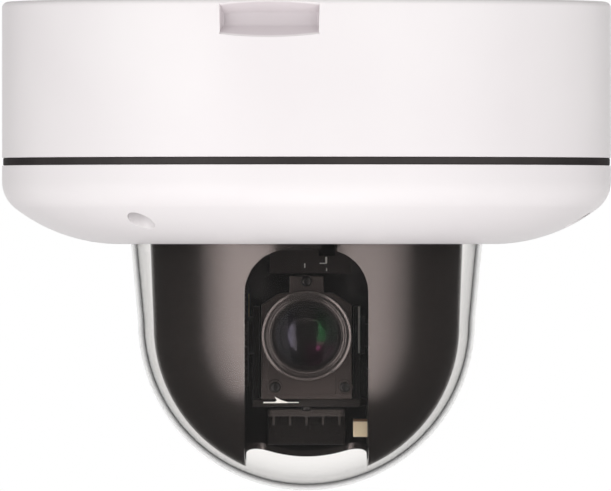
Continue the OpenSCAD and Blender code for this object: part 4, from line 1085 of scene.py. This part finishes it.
@dataclass
class CradleUnit(Assembly):
    """Cradle under the block, with the ribbed bracket, the side board and its connector."""

    deck: Block = ((-14.0, -24.0, -106.0), (14.0, 14.0, -104.0))
    arm: Block = ((0.0, -6.0, -106.0), (15.9, 4.0, -104.0))
    left_cheek: Block = ((-14.0, -9.0, -106.0), (-12.3, 9.0, -79.9))
    right_cheek: Block = ((12.3, -9.0, -106.0), (14.0, 9.0, -79.9))
    pin_root: float = 12.5
    pins: tuple[Point, ...] = ((15.3, 5.0), (21.4, 3.0))
    holes: tuple[Point, ...] = ((0.0, -22.0), (0.0, 12.0))
    hole_ends: Point = (-103.0, -107.0)
    hole_r: float = 0.9
    bar: Block = ((-10.0, -16.0, -108.6), (10.0, -11.0, -106.7))
    bar_r: float = 1.6
    block: Block = ((-10.0, -12.0, -116.0), (10.0, 6.0, -106.0))
    seam: Block = ((-0.15, -13.0, -117.0), (0.15, -11.7, -111.3))
    rib: Block = ((-0.25, -15.0, -110.9), (0.25, -11.5, -108.1))
    rib_places: tuple[float, ...] = (-8.6, -4.3, 0.0, 4.3, 8.6)
    board: Block = ((15.9, -12.0, -116.0), (17.1, 8.0, -96.5))
    shroud: Block = ((12.2, -11.0, -114.0), (15.9, -5.0, -109.4))
    well: Block = ((12.8, -10.2, -111.9), (15.3, -5.8, -109.0))
    contact: Block = ((13.8, -9.6, -112.0), (14.2, -9.2, -109.8))
    contact_places: tuple[float, ...] = (0.0, 1.2, 2.4, 3.6)
    strip: Block = ((-11.2, -27.6, -105.02), (-5.0, -24.0, -104.68))
    tail: Block = ((-5.2, -27.5, -104.95), (-2.0, -24.0, -104.75))
    edge: Block = ((13.5, -9.4, -92.2), (14.0, -8.6, -79.9))
    prong: tuple[Point, ...] = (
        (-8.6, -104.9), (-4.2, -104.9), (-6.6, -104.2), (-8.3, -103.3), (-7.7, -104.3))
    prong_front: float = -28.3
    prong_t: float = 0.8
    body: Body = Body.CAMERA

    def cradle(self) -> Form:
        """Makes the bent cradle with its two tilt pins."""
        plates = [Form.box(*self.arm).soften(0.2)]
        for side, cheek in ((-1, self.left_cheek), (1, self.right_cheek)):
            plates.append(Form.box(*cheek).soften(0.3))
            for end, radius in self.pins:
                pin = Form.rod((side * self.pin_root, 0, TILT_Z), (side * end, 0, TILT_Z), radius)
                plates.append(pin.soften(0.2))
        holes = Form.posts(self.holes, *self.hole_ends, self.hole_r, steps=24)
        return Form.box(*self.deck).soften(0.3).carve(Carve.JOIN, plates).carve(Carve.CUT, holes)

    def bracket(self) -> Form:
        """Makes the rounded bar, the comb of ribs below it and the body behind."""
        (_, front, low), (half, _, top) = self.bar
        bar = Form.box(*self.bar)
        bar.soften(self.bar_r, 6, 60, lambda m: abs(m.x) > half - 0.1 and m.y < front + 1
                   and abs(m.z - (low + top) / 2) < 0.2)
        bar.soften(0.3, 3, 50)
        ribs = [Form.box(*self.rib).move((x, 0, 0)).soften(0.12, 2) for x in self.rib_places]
        block = Form.box(*self.block).soften(0.4)
        return block.carve(Carve.CUT, [Form.box(*self.seam)]).carve(Carve.JOIN, [bar, *ribs])

    def connector(self) -> Form:
        """Makes the open connector with its row of pins."""
        shroud = Form.box(*self.shroud).carve(Carve.CUT, [Form.box(*self.well)]).soften(0.15, 2, 40)
        pins = [Form.box(*self.contact).move((0, y, 0)).soften(0.08, 2) for y in self.contact_places]
        return shroud.merge(pins)

    def spring(self) -> Form:
        """Makes the strip at the plate's foot, with its prong, and the one along the right side, whose bright
        colour is a painted glint.
        """
        strip = Form.box(*self.strip).soften(0.1, 2)
        strip.carve(Carve.JOIN, [Form.box(*self.tail).soften(0.05, 2)])
        first, *others = self.prong
        prong = Form.pushed(Outline(first).line(*others).close(), self.prong_front, self.prong_t)
        return strip.merge([prong.soften(0.1, 2), Form.box(*self.edge).soften(0.15, 2)])

    def build(self) -> None:
        """Builds cradle, bracket, board and connector."""
        self.place(self.spring(), "spring_strip_painted_glint", PAINTED_GLINT, Slot.STEEL)
        self.place(self.cradle(), "bent_cradle", CRADLE, Slot.GRAPHITE, ["camera_cradle"])
        self.place(self.bracket(), "ribbed_bar", BAR, Slot.BLACK, ["ribbed_bracket"])
        board = Form.box(*self.board).soften(0.12, 2)
        self.place(board, "upright_board", DARK_BOARD, Slot.BOARD, ["side_board"])
        self.place(self.connector(), "cream_connector", CREAM, Slot.CREAM, ["board_connector"])


@dataclass
class GuardUnit(Assembly):
    """Dark guard that hangs from the yoke above the lens, with the tabs of its clip, whose bright colour is a
    painted glint.
    """

    sheet: Block = ((-9.6, -16.2, -71.2), (11.8, -15.4, -52.5))
    lip: Block = ((-9.6, -17.2, -71.2), (11.8, -15.8, -70.6))
    window: Block = ((3.2, -20.0, -66.6), (7.4, -10.0, -60.0))
    clip: Block = ((4.9, -16.7, -68.5), (5.4, -16.1, -66.9))
    foot: Block = ((3.4, -16.6, -68.7), (5.3, -16.1, -68.45))
    tabs: tuple[Block, ...] = (
        ((-0.6, -16.7, -69.8), (-0.3, -16.1, -68.6)), ((5.1, -16.7, -71.0), (5.4, -16.1, -69.8)))
    body: Body = Body.HEAD

    def build(self) -> None:
        """Builds the guard and its clip."""
        guard = Form.box(*self.sheet).carve(Carve.JOIN, [Form.box(*self.lip)])
        guard.carve(Carve.CUT, [Form.box(*self.window)]).soften(0.15, 2)
        self.place(guard, "lens_guard", GRAPHITE, Slot.BLACK)
        bits = [Form.box(*self.foot).soften(0.06, 2)]
        bits += [Form.box(*tab).soften(0.08, 2) for tab in self.tabs]
        self.place(Form.box(*self.clip).soften(0.1, 2).merge(bits), "guard_clip_painted_glint", PAINTED_GLINT, Slot.STEEL)


KEPT_NODES: dict[Finish | ClearFinish, tuple[str, ...]] = {
    RUBBER: ("dome_seal",),
    BLACK: ("turntable", "lens_housing", "zoom_carrier", "focus_carrier", "filter_slide", "slip_ring_stator",
            "slip_ring_rotor", "processor_chip", "slip_ring_cable", "tilt_gear"),
    GLASS: ("zoom_lens", "focus_lens", "filter_glasses"),
    STEEL: ("m3_screws", "m2_screws", "pan_bolts", "dome_retainer", "chassis_plate", "tilt_yoke", "pan_motor",
            "tilt_motor", "lens_motors", "network_jack"),
    POLISHED: ("pan_bearing_outer_race", "pan_bearing_inner_race", "pan_bearing_balls", "guide_rods",
               "zoom_screw", "focus_screw"),
    ALUMINIUM: ("pan_hub", "hub_nut", "processor_heatsink", "lens_rear_plate"),
    SLEEVE: ("capacitors",),
    BRASS: ("board_standoffs", "pan_bearing_cage", "pan_pinion", "tilt_pinion", "tilt_bushes"),
    NATURAL: ("pan_gear",),
    BOARD: ("main_board", "sensor_board"),
    TERMINAL: ("power_terminal",),
    SOCKET: ("cable_socket",),
    CERAMIC: ("image_sensor",),
}


def dress_kept_nodes() -> None:
    """Gives every CAD node that is kept as drawn its finish."""
    for finish, names in KEPT_NODES.items():
        for name in names:
            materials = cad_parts[name].data.materials
            materials.clear()
            materials.append(finish.material())
            LOG.info("%s: kept as drawn, finish %s", name, finish.name)


@dataclass(frozen=True)
class Softbox:
    """A lamp that faces the object, in metres and watts, and whether gloss and glass show it."""

    name: str
    centre: Place
    size: Point
    power: float
    in_gloss: bool = True
    in_glass: bool = True
    fades: bool = False
    tint: Colour = (1.0, 0.985, 0.99)
    rear_glow: float = 0.08
    foot_fade: Point = (0.0, 0.15)

    def build(self, aim: Vector) -> None:
        """Hangs the lamp.

        Args:
            aim: Point that it faces.
        """
        data = bpy.data.lights.new(self.name, "AREA")
        data.shape, data.size, data.size_y = "RECTANGLE", *self.size
        data.energy, data.color = self.power, self.tint
        box = bpy.data.objects.new(self.name, data)
        box.location = self.centre
        box.rotation_euler = (aim - Vector(self.centre)).to_track_quat("-Z", "Y").to_euler()
        box.visible_glossy, box.visible_transmission = self.in_gloss, self.in_glass
        bpy.context.scene.collection.objects.link(box)
        if self.fades:
            self.fade(data)

    def fade(self, data: bpy.types.Light) -> None:
        """Fades a side lamp towards the rear and the foot.

        Args:
            data: The lamp's light.
        """
        nodes = Nodes(data)
        axes = nodes.axes(nodes.add("ShaderNodeNewGeometry").outputs["Parametric"])
        rear = 0.0 if self.centre[0] < 0 else 1.0
        strength = nodes.sum_up("MULTIPLY", nodes.span(axes["X"], (rear, 0.5), self.rear_glow),
                                nodes.span(axes["Y"], self.foot_fade))
        nodes.show(nodes.add("ShaderNodeEmission", {"Strength": strength}), Output.LAMP)


LAMPS = (
    Softbox("left_softbox", (-0.9, -0.655, -0.2), (1.26, 2.2), 13.2, fades=True),
    Softbox("right_softbox", (0.9, -0.655, -0.2), (1.26, 2.2), 10.4, fades=True),
    Softbox("top_softbox", (0.0, -0.4, 1.5), (1.2, 1.2), 4.0),
    Softbox("rim_strip", (0.1, -0.75, -1.55), (0.8, 0.5), 1.0, in_gloss=False),
    Softbox("low_softbox", (0.2, -0.75, -1.6), (1.5, 0.9), 9.5, in_gloss=False, in_glass=False),
    Softbox("front_softbox", (0.4, -3.0, 0.1), (1.0, 1.0), 12.0, in_gloss=False, in_glass=False),
    Softbox("rear_softbox", (0.0, 2.4, 0.6), (1.2, 1.2), 16.0, in_gloss=False, in_glass=False),
)


@dataclass
class Studio:
    """Camera, white surround and floor."""

    distance: float = 5.0
    frame_width: float = 0.16052
    eye_x: float = -0.00026
    eye_z: float = -0.06398
    sensor: float = 36.0
    fill: float = 0.31
    side_fill: float = 0.85
    side_ends: Point = (0.3, 1.0)
    front_glow: float = 0.02
    behind_ends: Point = (0.9, 0.985)
    floor_z: float = -1.75
    floor_r: float = 5.0
    floor_mottle: float = 6.0
    floor_tones: tuple[Colour, Colour] = ((0.86, 0.86, 0.86), (0.88, 0.88, 0.88))
    floor_contrast: Point = (0.3, 0.7)

    def camera(self) -> None:
        """Sets the camera straight before the object, far enough for upright edges to stay upright."""
        data = bpy.data.cameras.new("front_view")
        data.sensor_width = self.sensor
        data.lens = self.sensor * self.distance / self.frame_width
        data.clip_end = 4 * self.distance
        eye = bpy.data.objects.new("front_view", data)
        eye.location = (self.eye_x, -self.distance, self.eye_z)
        eye.rotation_euler = (math.pi / 2, 0, 0)
        bpy.context.scene.collection.objects.link(eye)
        bpy.context.scene.camera = eye

    def surround(self) -> None:
        """Makes the surround: white to the eye and through glass, in gloss only behind the object."""
        nodes = Nodes(bpy.data.worlds.new("white_surround"))
        path = nodes.add("ShaderNodeLightPath").outputs
        axes = nodes.axes(nodes.add("ShaderNodeTexCoord").outputs["Generated"])
        behind = nodes.span(axes["Y"], self.behind_ends, self.front_glow)
        aside = nodes.span(nodes.sum_up("ABSOLUTE", axes["X"]), self.side_ends, self.fill, self.side_fill)
        unseen = nodes.mix(nodes.sum_up("MINIMUM", path["Glossy Depth"], 1.0), aside, behind)
        bounces = nodes.sum_up("ADD", path["Diffuse Depth"], path["Glossy Depth"])
        direct = nodes.sum_up("LESS_THAN", bounces, 0.5)
        through = nodes.sum_up("MULTIPLY", path["Is Transmission Ray"], direct)
        strength = nodes.mix(nodes.sum_up("MAXIMUM", path["Is Camera Ray"], through), unseen, 1.0)
        glow = nodes.add("ShaderNodeBackground", {"Color": (1, 1, 1, 1), "Strength": strength})
        bpy.context.scene.world = nodes.show(glow, Output.WORLD)

    def floor(self) -> None:
        """Lays the pale floor, which is clear from below."""
        graph = Graph("pale_floor")
        mottle = graph.noise(graph.coords, self.floor_mottle, 2.0)
        tone = graph.ramp(mottle, *self.floor_tones, self.floor_contrast)
        pale = graph.add("ShaderNodeBsdfDiffuse", {"Color": tone})
        clear = graph.add("ShaderNodeBsdfTransparent")
        below = graph.add("ShaderNodeNewGeometry").outputs["Backfacing"]
        bm = bmesh.new()
        bmesh.ops.create_circle(bm, cap_ends=True, segments=96, radius=self.floor_r,
                                matrix=Matrix.Translation((0, 0, self.floor_z)))
        floor = Form(bm).loose("pale_floor")
        floor.data.materials.append(graph.show(graph.either(below, pale, clear)))
        floor.visible_glossy = floor.visible_transmission = False

    def build(self) -> None:
        """Sets up camera, lamps, surround and floor."""
        self.camera()
        for lamp in LAMPS:
            lamp.build(Vector((0, 0, self.eye_z)))
        self.surround()
        self.floor()
        bpy.context.scene.view_settings.view_transform = "Standard"


def main() -> None:
    """Builds every assembly in order and sets up the studio."""
    logging.basicConfig(level=logging.INFO, format="%(name)s: %(message)s")
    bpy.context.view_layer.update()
    for unit in (BaseUnit(), CoverUnit(), DomeUnit(), LinerUnit(), LensUnit(), CradleUnit(), GuardUnit()):
        unit.build()
    dress_kept_nodes()
    Studio().build()


if __name__ == "__main__":
    main()
